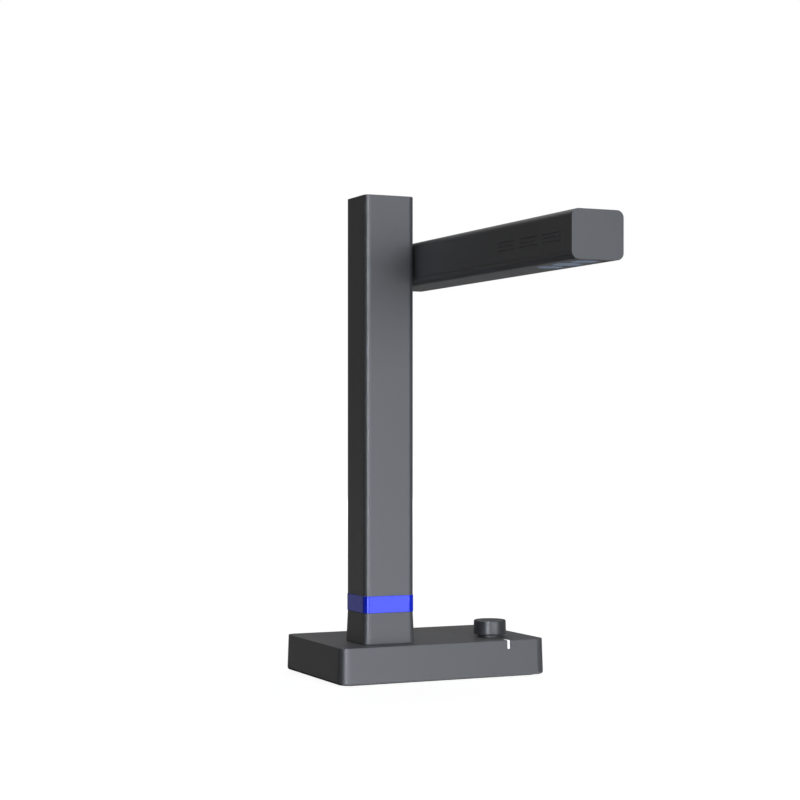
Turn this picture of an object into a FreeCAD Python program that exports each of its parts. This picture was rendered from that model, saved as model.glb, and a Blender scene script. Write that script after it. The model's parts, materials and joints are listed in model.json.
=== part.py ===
# Overhead book scanner: a weighted base with a knob, a post with a blue lamp ring,
# and an arm with lamps and a camera that folds down beside the post.
# Millimetres, +Z up, the front of the base faces -Y.
# The origin lies on the desk, under the centre of the base.
import FreeCAD, Part
import math
import os

V = FreeCAD.Vector

# Base housing, measured at its underside
base_width = 190.8
base_depth = 127.7
base_height = 30.4
base_draft = 1.06
base_corner_radius = 9.0
base_inner_corner = 2.2
base_bottom_round = 2.4
base_top_round = 0.5
base_side_wall = 4.0
base_top_wall = 3.0
base_rib_thickness = 1.6
base_rib_height = 5.0
cut_overrun = 1.0

# Bottom plate and the rubber ring in its groove
plate_thickness = 3.0
plate_gap = 0.3
foot_proud = 1.0
foot_groove_depth = 1.5
foot_ring_width = 5.0
foot_ring_inset = 6.9
foot_ring_corner = 6.0
foot_ring_gap = 0.05
plate_boss_radius = 4.0
plate_boss_inset_x = 19.0
plate_boss_inset_y = 18.5

# Cast weight that the post is bolted to
weight_width = 160.0
weight_depth = 100.0
weight_thickness = 9.0
weight_corner_radius = 6.0
weight_boss_gap = 1.5
weight_edge_chamfer = 1.0

# Post: a painted shell over an inner tube
post_width = 45.0
post_depth = 41.3
post_corner_radius = 5.0
post_left_margin = 29.4
post_front_margin = 17.95
shell_wall = 2.4
shell_height = 333.3
shell_top_chamfer = 0.4
core_gap = 0.3
core_wall = 2.0
core_port_radius = 3.2
core_port_bore = 2.0
core_port_inset = 2.4
core_hole_gap = 0.3
cap_thickness = 2.4
cap_recess = 0.5
cap_gap = 0.15
cap_peg_length = 6.0
cap_peg_gap = 0.05
cable_window_width = 12.0
cable_window_height = 9.0

# Flared foot of the post and the blue ring on it
post_foot_height = 26.1
post_foot_flare = 1.2
post_foot_edge = 0.5
ring_height = 14.1
ring_proud = 0.4
ring_wall = 1.7
ring_edge = 0.3
lamp_strip_height = 8.0
lamp_strip_thickness = 0.3
ring_lamp_size = 1.8
ring_lamp_height = 0.8

# Arm
arm_width = 42.9
arm_height = 36.1
arm_length = 329.7
arm_corner_radius = 5.5
arm_gap = 0.7
arm_wall = 2.5
arm_reach = 281.8
arm_axis_drop = 55.6
arm_seam_height = 5.5
arm_seam_groove = 0.35
arm_lip_thickness = 1.2
arm_lip_height = 2.0
arm_lip_gap = 0.15
end_cap_thickness = 2.0
end_skirt_length = 5.0
end_skirt_wall = 1.5
arm_fold_angle = 90.0

# Cooling holes in the arm's left wall
vent_radius = 0.62
vent_sides = 6
vent_pitch = 3.0
vent_columns = 9
vent_rows = 3
vent_groups = 3
vent_group_pitch = 35.45
vent_front_margin = 29.4
vent_drop = 0.3

# Hinge between post and arm, along X
shaft_radius = 6.0
shaft_bore = 3.0
shaft_flat = 4.7
shaft_fit = 0.05
shaft_clearance = 0.3
shaft_flange_radius = 12.0
shaft_flange_thickness = 3.0
shaft_end = 1.8
key_clearance = 0.1
bush_wall = 1.5
bush_flange_radius = 9.0
bush_flange_thickness = 1.0
bush_seat_gap = 0.02
block_width = 20.2
block_height = 38.0
block_thickness = 4.0
block_edge_radius = 2.0
spigot_radius = 9.0
spigot_gap = 0.2
spigot_recess = 0.3
slip_ring_radius = 8.8
friction_radius = 10.0
friction_thickness = 1.0
friction_pairs = 2
stop_thickness = 1.5
stop_tab_reach = 14.0
stop_tab_half_angle = 10.0
stop_play_angle = 1.5
stop_pin_radius = 1.5
stop_pin_circle = 12.2
stop_pin_depth = 2.5
stop_pin_proud = 0.4
anchor_ear_radius = 2.8
spring_radius = 9.5
spring_thickness = 0.9
spring_rise = 0.35
spring_count = 4
nut_across_flats = 18.0
nut_height = 5.0
block_screw_y = 6.0
block_screw_z = 16.0
hinge_plate_thickness = 3.0
hinge_plate_front = 44.0
hinge_plate_rear = 22.0
hinge_plate_height = 25.0
hinge_plate_corner = 3.0
hinge_boss_radius = 3.5
hinge_boss_length = 4.0
hinge_boss_inset = 6.0
hinge_ring_boss_radius = 12.2
flange_screw_circle = 9.0

# Screws
screw_radius = 1.5
screw_head_radius = 2.75
screw_head_height = 1.6
screw_fit = 0.03
plate_screw_length = 12.0
block_screw_length = 5.8
flange_screw_length = 5.0
hinge_screw_length = 8.0
board_screw_length = 6.0
cover_screw_length = 9.0
core_bolt_radius = 2.0
core_bolt_head_radius = 3.5
core_bolt_head_height = 4.0
core_bolt_reach = 14.0
bolt_clearance = 0.2

# Main board and rear sockets
board_thickness = 1.6
main_board_width = 90.0
main_board_depth = 46.0
main_board_x = 8.0
main_board_rear_gap = 0.8
main_board_lift = 2.0
board_boss_radius = 3.0
board_boss_inset = 4.5
socket_gap = 0.2
data_socket_offset = -22.0
data_socket_width = 9.0
data_socket_height = 3.3
data_socket_depth = 7.5
data_socket_wall = 0.3
data_tongue_thickness = 0.7
power_socket_offset = 8.0
main_chip_offset = 22.0
power_socket_width = 9.4
power_socket_height = 11.0
power_socket_depth = 12.0
power_barrel_radius = 4.2
power_bore_radius = 3.1
power_pin_radius = 1.0
power_bore_depth = 9.0
socket_recess = 0.8

# Knob, encoder and index light
knob_right_margin = 36.5
knob_front_margin = 35.55
knob_radius = 14.1
knob_draft = 0.3
knob_gap = 2.0
knob_height = 12.4
knob_top_round = 1.2
knob_bottom_round = 1.2
knob_cavity_radius = 11.2
knob_cavity_depth = 4.2
knob_shaft_depth = 6.0
knob_travel = 0.6
collar_radius = 10.4
collar_height = 3.0
collar_bore = 7.0
collar_floor = 0.8
collar_edge = 0.4
encoder_size = 12.4
encoder_height = 6.0
bushing_radius = 3.5
bushing_rise = 4.0
bushing_gap = 0.1
encoder_shaft_radius = 3.0
encoder_shaft_fit = 0.05
encoder_shaft_flat = 2.2
encoder_floor = 1.0
plunger_height = 1.2
plunger_room = 0.8
encoder_nut_flats = 10.0
encoder_nut_height = 2.0
encoder_board_width = 24.0
encoder_board_rear = 9.5
index_width = 1.9
index_top_length = 7.5
index_front_length = 7.3
index_gap = 0.04
index_stem_depth = 2.4
index_lamp_gap = 0.3
index_lamp_size = 3.0
index_lamp_height = 1.6

# Camera and lamps in the arm's front end
camera_front_margin = 43.8
front_lamp_margin = 19.0
rear_lamp_margin = 70.0
camera_window_radius = 11.3
lamp_window_radius = 9.5
window_thickness = 1.5
window_ledge = 1.2
window_gap = 0.05
camera_board_width = 32.0
camera_board_length = 36.0
board_hang = 10.3
sensor_size = 9.0
sensor_height = 1.2
lens_mount_size = 22.0
lens_mount_height = 8.0
lens_mount_wall = 2.5
lens_barrel_radius = 8.0
lens_barrel_rim = 1.2
lens_barrel_rim_height = 3.0
lens_barrel_bore = 5.5
lens_window_gap = 1.2
lens_thread_gap = 0.05
lens_glass_radius = 6.0
lens_glass_crown = 1.4
lens_glass_edge = 1.2
reflector_radius = 9.6
reflector_height = 9.4
reflector_wall = 1.0
reflector_throat = 3.2
lamp_ear_reach = 12.8
lamp_ear_width = 6.4
lamp_chip_size = 4.6
lamp_chip_height = 0.7

# Arm board with its heat sink, seen from the pivot
arm_board_width = 30.0
arm_board_length = 140.0
arm_board_front_gap = 3.0
heat_sink_gap = 1.0
heat_sink_width = 26.0
heat_sink_length = 36.0
heat_sink_height = 9.0
heat_sink_floor = 2.0
heat_sink_fins = 7
heat_sink_fin = 1.0
chip_height = 1.4
chip_size = 16.0
connector_width = 12.0
connector_depth = 6.0
connector_height = 7.0
cover_screw_inset_x = 9.0
cover_boss_radius = 3.2
cover_boss_gap = 0.5

# Cables
cable_radius = 2.4
cable_bend = 9.5
cable_arm_bend = 8.0
cable_base_bend = 6.5
cable_shift_bend = 30.0
cable_shift_height = 70.0
cable_shift_length = 50.0
cable_exit_gap = 0.5

# Places worked out from the sizes above
base_bottom = foot_proud
base_top = base_bottom + base_height
cavity_top = base_top - base_top_wall
plate_top = base_bottom + plate_thickness
weight_top = plate_top + weight_thickness
post_x = -base_width / 2 + post_left_margin + post_width / 2
post_y = -base_depth / 2 + post_front_margin + post_depth / 2
post_right = post_x + post_width / 2
ring_bottom = base_top + post_foot_height
ring_top = ring_bottom + ring_height
post_top = ring_top + shell_height
shell_inner_width = post_width - 2 * shell_wall
shell_inner_depth = post_depth - 2 * shell_wall
shell_inner_radius = max(post_corner_radius - shell_wall, 0.5)
core_width = shell_inner_width - 2 * core_gap
core_depth = shell_inner_depth - 2 * core_gap
core_radius = max(shell_inner_radius - core_gap, 0.5)
core_top = post_top - cap_recess - cap_thickness
core_inner_right = post_right - shell_wall - core_gap - core_wall
core_inner_left = post_x - core_width / 2 + core_wall
data_socket_x = main_board_x + data_socket_offset
power_socket_x = main_board_x + power_socket_offset
knob_x = base_width / 2 - knob_right_margin
knob_y = -base_depth / 2 + knob_front_margin
arm_axis_height = post_top - arm_axis_drop
arm_left = post_right + arm_gap
arm_x = arm_left + arm_width / 2
arm_bottom = arm_axis_height - arm_height / 2
arm_top = arm_axis_height + arm_height / 2
arm_seam = arm_bottom + arm_seam_height
arm_front = post_y - arm_reach
arm_rear = arm_front + arm_length
arm_floor = arm_bottom + arm_wall
arm_ceiling = arm_top - arm_wall
body_front = arm_front + end_cap_thickness
body_rear = arm_rear - end_cap_thickness
camera_y = arm_front + camera_front_margin
front_lamp_y = arm_front + front_lamp_margin
rear_lamp_y = arm_front + rear_lamp_margin
hung_board_top = arm_ceiling - board_hang
hung_board_bottom = hung_board_top - board_thickness
hinge_centre = V(0, post_y, arm_axis_height)

# Stack of hinge pieces along X, from the arm inwards
spigot_face = post_right - spigot_recess
block_face = core_inner_right - block_thickness
stack_start = block_face - bush_flange_thickness
stop_face = stack_start - 2 * friction_pairs * friction_thickness
spring_face = stop_face - stop_thickness
nut_face = spring_face - spring_count * (spring_thickness + spring_rise)
shaft_tip = nut_face - nut_height - shaft_end
plate_face = arm_left + arm_wall + hinge_boss_length
flange_face = plate_face + hinge_plate_thickness
flange_top = flange_face + shaft_flange_thickness
cable_joint_x = (spigot_face + arm_left) / 2


def bar(radius, start, end):
    """Round bar between two points."""
    axis = end.sub(start)
    return Part.makeCylinder(radius, axis.Length, start, axis)


def post_bar(radius, x, y, z_low, z_high):
    """Upright round bar."""
    return bar(radius, V(x, y, z_low), V(x, y, z_high))


def cross_bar(radius, x_from, x_to, y=0.0, z=0.0):
    """Round bar along X, placed from the hinge axis."""
    return bar(radius, V(x_from, post_y + y, arm_axis_height + z),
               V(x_to, post_y + y, arm_axis_height + z))


def block(x_low, x_high, y_low, y_high, z_low, z_high):
    """Plain block between its limits."""
    return Part.makeBox(x_high - x_low, y_high - y_low, z_high - z_low, V(x_low, y_low, z_low))


def outline(width, depth, radius, x=0.0, y=0.0, z=0.0):
    """Rectangle with round corners as a closed wire, level."""
    hx = width / 2 - radius
    hy = depth / 2 - radius
    edges = []
    for turn in range(4):
        quarter = math.radians(90 * turn)
        cx = x + hx * (1 if turn in (0, 3) else -1)
        cy = y + hy * (1 if turn in (0, 1) else -1)
        points = [V(cx + radius * math.cos(quarter + math.radians(a)),
                    cy + radius * math.sin(quarter + math.radians(a)), z) for a in (0, 45, 90)]
        edges.append((points[0], points[1], points[2]))
    wire = []
    for turn in range(4):
        start, middle, end = edges[turn]
        wire.append(Part.Arc(start, middle, end).toShape())
        following = edges[(turn + 1) % 4][0]
        wire.append(Part.LineSegment(end, following).toShape())
    return Part.Wire(wire)


def prism(wire, height, direction=V(0, 0, 1)):
    """Straight solid on a closed wire."""
    return Part.Face(wire).extrude(direction * height)


def upright(width, depth, radius, x, y, z_low, z_high):
    """Upright prism with round corners."""
    return prism(outline(width, depth, radius, x, y, z_low), z_high - z_low)


def lengthwise(width, height, radius, y_low, y_high):
    """Prism with round corners along the arm, centred on the arm's section."""
    wire = outline(width, height, radius)
    wire.rotate(V(0, 0, 0), V(1, 0, 0), 90)
    wire.translate(V(arm_x, y_low, arm_axis_height))
    return prism(wire, y_high - y_low, V(0, 1, 0))


def fuse_all(shapes):
    """One solid from several that touch."""
    return shapes[0].multiFuse(shapes[1:]).removeSplitter()


def level_edges(shape, z):
    """Edges that lie flat at one height."""
    return [e for e in shape.Edges
            if abs(e.BoundBox.ZMin - z) < 0.01 and abs(e.BoundBox.ZMax - z) < 0.01]


def turned(profile, x, y):
    """Upright solid of revolution from (radius, height) points."""
    points = [V(x + r, y, z) for r, z in profile]
    face = Part.Face(Part.makePolygon(points + points[:1]))
    return face.revolve(V(x, y, 0), V(0, 0, 1), 360)


def side_lean(z):
    """How far a side of the base has leant in at a height."""
    return base_draft * (z - base_bottom) / base_height


def base_block(inset, z_low, z_high):
    """Block that follows the leaning sides of the base, inset from them."""
    corner = max(base_corner_radius - inset, base_inner_corner)
    wires = []
    for z in (z_low, z_high):
        shrink = 2 * (inset + side_lean(z))
        wires.append(outline(base_width - shrink, base_depth - shrink, corner - side_lean(z), z=z))
    return Part.makeLoft(wires, True, True)


def base_outside():
    """Outer form of the base, with its rounded lower and upper edges."""
    form = base_block(0, base_bottom, base_top)
    form = form.makeFillet(base_bottom_round, level_edges(form, base_bottom))
    return form.makeFillet(base_top_round, level_edges(form, base_top))


def plate_boss_places():
    """Centres of the six bosses that take the bottom plate's screws."""
    x = base_width / 2 - plate_boss_inset_x
    y = base_depth / 2 - plate_boss_inset_y
    return [(sx * x, sy * y) for sx in (-1, 0, 1) for sy in (-1, 1)]


def main_board_rear():
    """Rear edge of the main board, close to the rear wall's inside."""
    z = weight_top + main_board_lift + board_thickness
    return base_depth / 2 - side_lean(z) - base_side_wall - main_board_rear_gap


def main_board_places():
    """Centres of the four bosses that the main board hangs from."""
    rear = main_board_rear()
    x = main_board_width / 2 - board_boss_inset
    return [(main_board_x + sx * x, y) for sx in (-1, 1)
            for y in (rear - board_boss_inset, rear - main_board_depth + board_boss_inset)]


def pan_screw(tip, direction, length, radius=screw_radius,
              head=screw_head_radius, head_height=screw_head_height):
    """Screw whose head seat is at tip and whose shank runs along direction."""
    direction = V(direction).normalize()
    shank = bar(radius, tip, tip + direction * length)
    cap = bar(head, tip - direction * head_height, tip)
    return shank.fuse(cap).removeSplitter()


def countersunk_screw(x, y, z, length):
    """Screw driven upwards, its flat head level with the face at z."""
    sink = screw_head_radius - screw_radius
    return turned([(0, z), (screw_head_radius, z), (screw_radius, z + sink),
                   (screw_radius, z + length), (0, z + length)], x, y)


def sunk_hole(x, y, z, depth):
    """Hole for a countersunk screw that enters upwards at z."""
    sink = screw_head_radius - screw_radius
    wide = screw_head_radius + screw_fit
    slim = screw_radius + screw_fit
    return turned([(0, z - cut_overrun), (wide, z - cut_overrun), (wide, z), (slim, z + sink),
                   (slim, z + depth), (0, z + depth)], x, y)


def index_profile(inset, extra=0.0):
    """Side view of the index light, wrapped over the base's top front edge."""
    top_front = -base_depth / 2 + side_lean(base_top)
    low = base_top - index_front_length + index_width / 2 + inset
    low_front = -base_depth / 2 + side_lean(low)
    back = top_front + index_top_length - index_width / 2 - inset
    top_inside = cavity_top - extra
    front_inside = low_front + base_side_wall + extra
    points = [V(0, low_front - extra, low), V(0, top_front - extra, base_top + extra),
              V(0, back, base_top + extra), V(0, back, top_inside), V(0, front_inside, top_inside),
              V(0, front_inside, low)]
    return points, low, back


def index_body(inset, extra=0.0):
    """Index light or, with its clearance, the slot for it: round at both ends."""
    width = index_width - 2 * inset
    points, low, back = index_profile(inset, extra)
    face = Part.Face(Part.makePolygon(points + points[:1]))
    face.translate(V(knob_x - width / 2, 0, 0))
    body = face.extrude(V(width, 0, 0))
    low_end = bar(width / 2, V(knob_x, points[0].y - extra, low), V(knob_x, points[5].y, low))
    back_end = post_bar(width / 2, knob_x, back, points[3].z, base_top + extra)
    body = fuse_all([body, low_end, back_end])
    if extra:
        return body
    return body.common(base_outside())


def base_housing():
    shell = base_outside().cut(base_block(base_side_wall, base_bottom - cut_overrun, cavity_top))
    inside = []
    for x, y in plate_boss_places():
        inside.append(post_bar(plate_boss_radius, x, y, plate_top, cavity_top + cut_overrun))
    for x, y in main_board_places():
        inside.append(post_bar(board_boss_radius, x, y, board_top(), cavity_top + cut_overrun))
    inside += base_ribs()
    shell = fuse_all([shell] + inside)
    return shell.cut(Part.makeCompound(base_openings())).removeSplitter()


def board_top():
    """Upper face of the main board."""
    return weight_top + main_board_lift + board_thickness


def base_ribs():
    """Stiffening ribs under the top, one lengthwise and one crosswise."""
    low = cavity_top - base_rib_height
    half = base_rib_thickness / 2
    reach_x = base_width / 2 - side_lean(cavity_top) - base_side_wall + cut_overrun
    reach_y = base_depth / 2 - side_lean(cavity_top) - base_side_wall + cut_overrun
    rib_y = post_y + post_depth / 2 + 2 * base_rib_thickness
    main_front = main_board_rear() - main_board_depth
    return [block(-reach_x, reach_x, rib_y - half, rib_y + half, low, cavity_top + cut_overrun),
            block(-half, half, -reach_y, main_front, low, cavity_top + cut_overrun)]


def base_openings():
    """Everything that is cut through the housing or into its bosses."""
    cuts = []
    for x, y in plate_boss_places():
        cuts.append(post_bar(screw_radius + screw_fit, x, y, plate_top - cut_overrun,
                             base_bottom + plate_screw_length + cut_overrun))
    for x, y in main_board_places():
        cuts.append(post_bar(screw_radius + screw_fit, x, y, board_top() - cut_overrun,
                             board_top() - board_thickness + board_screw_length + cut_overrun))
    cuts.append(upright(core_width + 2 * core_hole_gap, core_depth + 2 * core_hole_gap,
                        core_radius + core_hole_gap, post_x, post_y,
                        cavity_top - base_rib_height - cut_overrun, base_top + cut_overrun))
    cuts.append(post_bar(bushing_radius + bushing_gap, knob_x, knob_y,
                         cavity_top - cut_overrun, base_top + cut_overrun))
    cuts.append(index_body(-index_gap, cut_overrun))
    cuts.append(data_opening())
    cuts.append(power_opening())
    return cuts


def rear_face(z):
    """Place of the rear wall's outer face at a height."""
    return base_depth / 2 - side_lean(z)


def data_opening():
    """Slot in the rear wall round the data socket."""
    z = board_top() + data_socket_height / 2
    wire = outline(data_socket_width + 2 * socket_gap, data_socket_height + 2 * socket_gap,
                   data_socket_height / 2 + socket_gap - 0.01)
    wire.rotate(V(0, 0, 0), V(1, 0, 0), 90)
    wire.translate(V(data_socket_x, rear_face(z) - base_side_wall - cut_overrun, z))
    return prism(wire, base_side_wall + 2 * cut_overrun, V(0, 1, 0))


def power_opening():
    """Round hole in the rear wall round the power socket's barrel."""
    z = board_top() + power_socket_height / 2
    y = rear_face(z)
    return bar(power_barrel_radius + socket_gap, V(power_socket_x, y - base_side_wall - cut_overrun, z),
               V(power_socket_x, y + cut_overrun, z))


def foot_ring_outline(offset, z):
    """Outline of the rubber ring, offset outwards from its outer edge."""
    return outline(base_width - 2 * foot_ring_inset + 2 * offset,
                   base_depth - 2 * foot_ring_inset + 2 * offset,
                   max(foot_ring_corner + offset, 0.8), z=z)


def foot_ring_band(gap, z_low, z_high):
    """Band of the rubber ring, or of its groove when gap widens it."""
    outer = prism(foot_ring_outline(gap, z_low), z_high - z_low)
    inner = prism(foot_ring_outline(-foot_ring_width - gap, z_low), z_high - z_low)
    return outer.cut(inner)


def rubber_foot_ring():
    return foot_ring_band(0, 0, foot_proud + foot_groove_depth)


def base_bottom_plate():
    plate = base_block(base_side_wall + plate_gap, base_bottom, plate_top)
    groove = foot_ring_band(foot_ring_gap, base_bottom - cut_overrun,
                            base_bottom + foot_groove_depth)
    holes = [sunk_hole(x, y, base_bottom, plate_thickness + cut_overrun)
             for x, y in plate_boss_places()]
    return plate.cut(Part.makeCompound([groove] + holes))


def bottom_plate_screws():
    return Part.makeCompound([countersunk_screw(x, y, base_bottom, plate_screw_length)
                              for x, y in plate_boss_places()])


def core_port_places():
    """Centres of the four screw ports in the corners of the post's inner tube."""
    x = core_width / 2 - core_wall - core_port_inset
    y = core_depth / 2 - core_wall - core_port_inset
    return [(post_x + sx * x, post_y + sy * y) for sx in (-1, 1) for sy in (-1, 1)]


def base_weight():
    slab = upright(weight_width, weight_depth, weight_corner_radius, 0, 0, plate_top, weight_top)
    slab = slab.makeChamfer(weight_edge_chamfer, level_edges(slab, weight_top))
    cuts = [post_bar(plate_boss_radius + weight_boss_gap, x, y, plate_top - cut_overrun,
                     weight_top + cut_overrun) for x, y in plate_boss_places()]
    head_depth = core_bolt_head_height + bolt_clearance
    for x, y in core_port_places():
        cuts.append(post_bar(core_bolt_head_radius + bolt_clearance, x, y,
                             plate_top - cut_overrun, plate_top + head_depth))
        cuts.append(post_bar(core_bolt_radius + bolt_clearance, x, y,
                             plate_top, weight_top + cut_overrun))
    return slab.cut(Part.makeCompound(cuts)).removeSplitter()


def core_bolts():
    seat = plate_top + core_bolt_head_height + bolt_clearance
    length = weight_top - seat + core_bolt_reach
    return Part.makeCompound([pan_screw(V(x, y, seat), V(0, 0, 1), length, core_bolt_radius,
                                        core_bolt_head_radius, core_bolt_head_height)
                              for x, y in core_port_places()])


def post_core():
    height = core_top - weight_top
    tube = upright(core_width, core_depth, core_radius, post_x, post_y, weight_top, core_top)
    tube = tube.cut(upright(core_width - 2 * core_wall, core_depth - 2 * core_wall, 0.5,
                            post_x, post_y, weight_top, core_top))
    whole = upright(core_width, core_depth, core_radius, post_x, post_y, weight_top, core_top)
    ports = [Part.makeCylinder(core_port_radius, height, V(x, y, weight_top))
             for x, y in core_port_places()]
    tube = fuse_all([tube] + [p.common(whole) for p in ports])
    cuts = [Part.makeCylinder(core_port_bore, height, V(x, y, weight_top))
            for x, y in core_port_places()]
    cuts.append(cross_bar(spigot_radius + spigot_gap, core_inner_right - cut_overrun, post_right))
    for y, z in block_screw_places():
        cuts.append(cross_bar(screw_radius + screw_fit, core_inner_right - cut_overrun,
                              post_right, y, z))
    rear = post_y + core_depth / 2
    cuts.append(block(post_x - cable_window_width / 2, post_x + cable_window_width / 2,
                      rear - core_wall - cut_overrun, rear + cut_overrun,
                      weight_top + core_wall, weight_top + core_wall + cable_window_height))
    return tube.cut(Part.makeCompound(cuts))


def post_foot():
    spread = 2 * post_foot_flare
    low = outline(post_width + spread, post_depth + spread, post_corner_radius + post_foot_flare,
                  post_x, post_y, base_top)
    high = outline(post_width, post_depth, post_corner_radius, post_x, post_y, ring_bottom)
    foot = Part.makeLoft([low, high], True, True)
    foot = foot.makeChamfer(post_foot_edge, level_edges(foot, base_top))
    return foot.cut(upright(shell_inner_width, shell_inner_depth, shell_inner_radius,
                            post_x, post_y, base_top - cut_overrun, ring_bottom + cut_overrun))


def light_ring():
    ring = upright(post_width + 2 * ring_proud, post_depth + 2 * ring_proud,
                   post_corner_radius + ring_proud, post_x, post_y, ring_bottom, ring_top)
    edges = level_edges(ring, ring_bottom) + level_edges(ring, ring_top)
    ring = ring.makeChamfer(ring_edge, edges)
    shrink = 2 * (ring_wall - ring_proud)
    return ring.cut(upright(post_width - shrink, post_depth - shrink,
                            post_corner_radius + ring_proud - ring_wall, post_x, post_y,
                            ring_bottom - cut_overrun, ring_top + cut_overrun))


def ring_lamp_strip():
    """Flexible lamp strip wrapped round the inner tube behind the blue ring."""
    low = (ring_bottom + ring_top - lamp_strip_height) / 2
    high = low + lamp_strip_height
    wrap = 2 * lamp_strip_thickness
    strip = upright(core_width + wrap, core_depth + wrap, core_radius + lamp_strip_thickness,
                    post_x, post_y, low, high)
    strip = strip.cut(upright(core_width, core_depth, core_radius, post_x, post_y, low, high))
    middle = (low + high) / 2
    half = ring_lamp_size / 2
    face_x = core_width / 2 + lamp_strip_thickness
    face_y = core_depth / 2 + lamp_strip_thickness
    lamps = []
    for step in (-1, 0, 1):
        along_y = post_y + step * core_depth / 4
        along_x = post_x + step * core_width / 4
        lamps.append(block(post_x - face_x - ring_lamp_height, post_x - face_x,
                           along_y - half, along_y + half, middle - half, middle + half))
        lamps.append(block(post_x + face_x, post_x + face_x + ring_lamp_height,
                           along_y - half, along_y + half, middle - half, middle + half))
        lamps.append(block(along_x - half, along_x + half, post_y - face_y - ring_lamp_height,
                           post_y - face_y, middle - half, middle + half))
        lamps.append(block(along_x - half, along_x + half, post_y + face_y,
                           post_y + face_y + ring_lamp_height, middle - half, middle + half))
    return fuse_all([strip] + lamps)


def post_shell():
    shell = upright(post_width, post_depth, post_corner_radius, post_x, post_y, ring_top, post_top)
    shell = shell.makeChamfer(shell_top_chamfer, level_edges(shell, post_top))
    shell = shell.cut(upright(shell_inner_width, shell_inner_depth, shell_inner_radius,
                              post_x, post_y, ring_top - cut_overrun, post_top + cut_overrun))
    return shell.cut(cross_bar(spigot_radius + spigot_gap, post_right - 2 * shell_wall,
                               post_right + cut_overrun))


def post_top_cap():
    cap = upright(shell_inner_width - 2 * cap_gap, shell_inner_depth - 2 * cap_gap,
                  shell_inner_radius, post_x, post_y, core_top, core_top + cap_thickness)
    pegs = [post_bar(core_port_bore - cap_peg_gap, x, y, core_top - cap_peg_length, core_top)
            for x, y in core_port_places()]
    return fuse_all([cap] + pegs)


def block_screw_places():
    """Offsets of the bearing block's screws from the hinge axis."""
    return [(sy * block_screw_y, sz * block_screw_z) for sy in (-1, 1) for sz in (-1, 1)]


def stop_pin_places():
    """Offsets of the two stop pins from the hinge axis."""
    pin_angle = math.degrees(math.asin(stop_pin_radius / stop_pin_circle))
    half = arm_fold_angle / 2 + stop_tab_half_angle + pin_angle + stop_play_angle
    y = stop_pin_circle * math.cos(math.radians(half))
    z = stop_pin_circle * math.sin(math.radians(half))
    return [(y, -z), (y, z)]


def hinge_block():
    """Bearing block inside the post, its spigot reaching out through both tubes."""
    wire = upright_in_yz(block_width, block_height, block_edge_radius, block_face)
    body = prism(wire, block_thickness, V(1, 0, 0))
    body = fuse_all([body, cross_bar(spigot_radius, core_inner_right - cut_overrun, spigot_face)])
    cuts = [cross_bar(shaft_radius + shaft_fit + bush_wall + bush_seat_gap,
                      block_face - cut_overrun, spigot_face + cut_overrun)]
    for y, z in block_screw_places():
        cuts.append(cross_bar(screw_radius + screw_fit, block_face - cut_overrun,
                              core_inner_right + cut_overrun, y, z))
    for y, z in stop_pin_places():
        cuts.append(cross_bar(stop_pin_radius, block_face - cut_overrun,
                              block_face + stop_pin_depth, y, z))
    return body.cut(Part.makeCompound(cuts))


def upright_in_yz(width, height, radius, x):
    """Rectangle with round corners, facing along X, centred on the hinge axis."""
    wire = outline(height, width, radius)
    wire.rotate(V(0, 0, 0), V(0, 1, 0), 90)
    wire.translate(V(x, post_y, arm_axis_height))
    return wire


def hinge_block_screws():
    seats = [V(block_face, post_y + y, arm_axis_height + z) for y, z in block_screw_places()]
    return Part.makeCompound([pan_screw(s, V(1, 0, 0), block_screw_length) for s in seats])


def hinge_bush():
    outside = shaft_radius + shaft_fit + bush_wall
    body = fuse_all([cross_bar(outside, block_face, spigot_face),
                     cross_bar(bush_flange_radius, stack_start, block_face)])
    return body.cut(cross_bar(shaft_radius + shaft_fit, stack_start, spigot_face))


def hinge_slip_ring():
    ring = cross_bar(slip_ring_radius, spigot_face, arm_left)
    return ring.cut(cross_bar(shaft_radius + shaft_clearance, spigot_face, arm_left))


def keyed_bore(x_from, x_to):
    """Cut for a washer that the shaft's two flats turn."""
    radius = shaft_radius + key_clearance
    half = shaft_flat + key_clearance
    hole = cross_bar(radius, x_from, x_to)
    slab = block(x_from, x_to, post_y - radius, post_y + radius,
                 arm_axis_height - half, arm_axis_height + half)
    return hole.common(slab)


def turning_friction_washers():
    washers = []
    for pair in range(friction_pairs):
        x_high = stack_start - 2 * pair * friction_thickness
        x_low = x_high - friction_thickness
        washers.append(cross_bar(friction_radius, x_low, x_high).cut(keyed_bore(x_low, x_high)))
    return Part.makeCompound(washers)


def fixed_friction_washers():
    washers = []
    for pair in range(friction_pairs):
        x_high = stack_start - (2 * pair + 1) * friction_thickness
        x_low = x_high - friction_thickness
        ears = [cross_bar(anchor_ear_radius, x_low, x_high, y, z) for y, z in stop_pin_places()]
        body = fuse_all([cross_bar(friction_radius, x_low, x_high)] + ears)
        cuts = [cross_bar(shaft_radius + shaft_clearance, x_low, x_high)]
        cuts += [cross_bar(stop_pin_radius + screw_fit, x_low, x_high, y, z)
                 for y, z in stop_pin_places()]
        washers.append(body.cut(Part.makeCompound(cuts)))
    return Part.makeCompound(washers)


def hinge_stop_pins():
    end = spring_face - stop_pin_proud
    return Part.makeCompound([cross_bar(stop_pin_radius, end, block_face + stop_pin_depth, y, z)
                              for y, z in stop_pin_places()])


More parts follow.
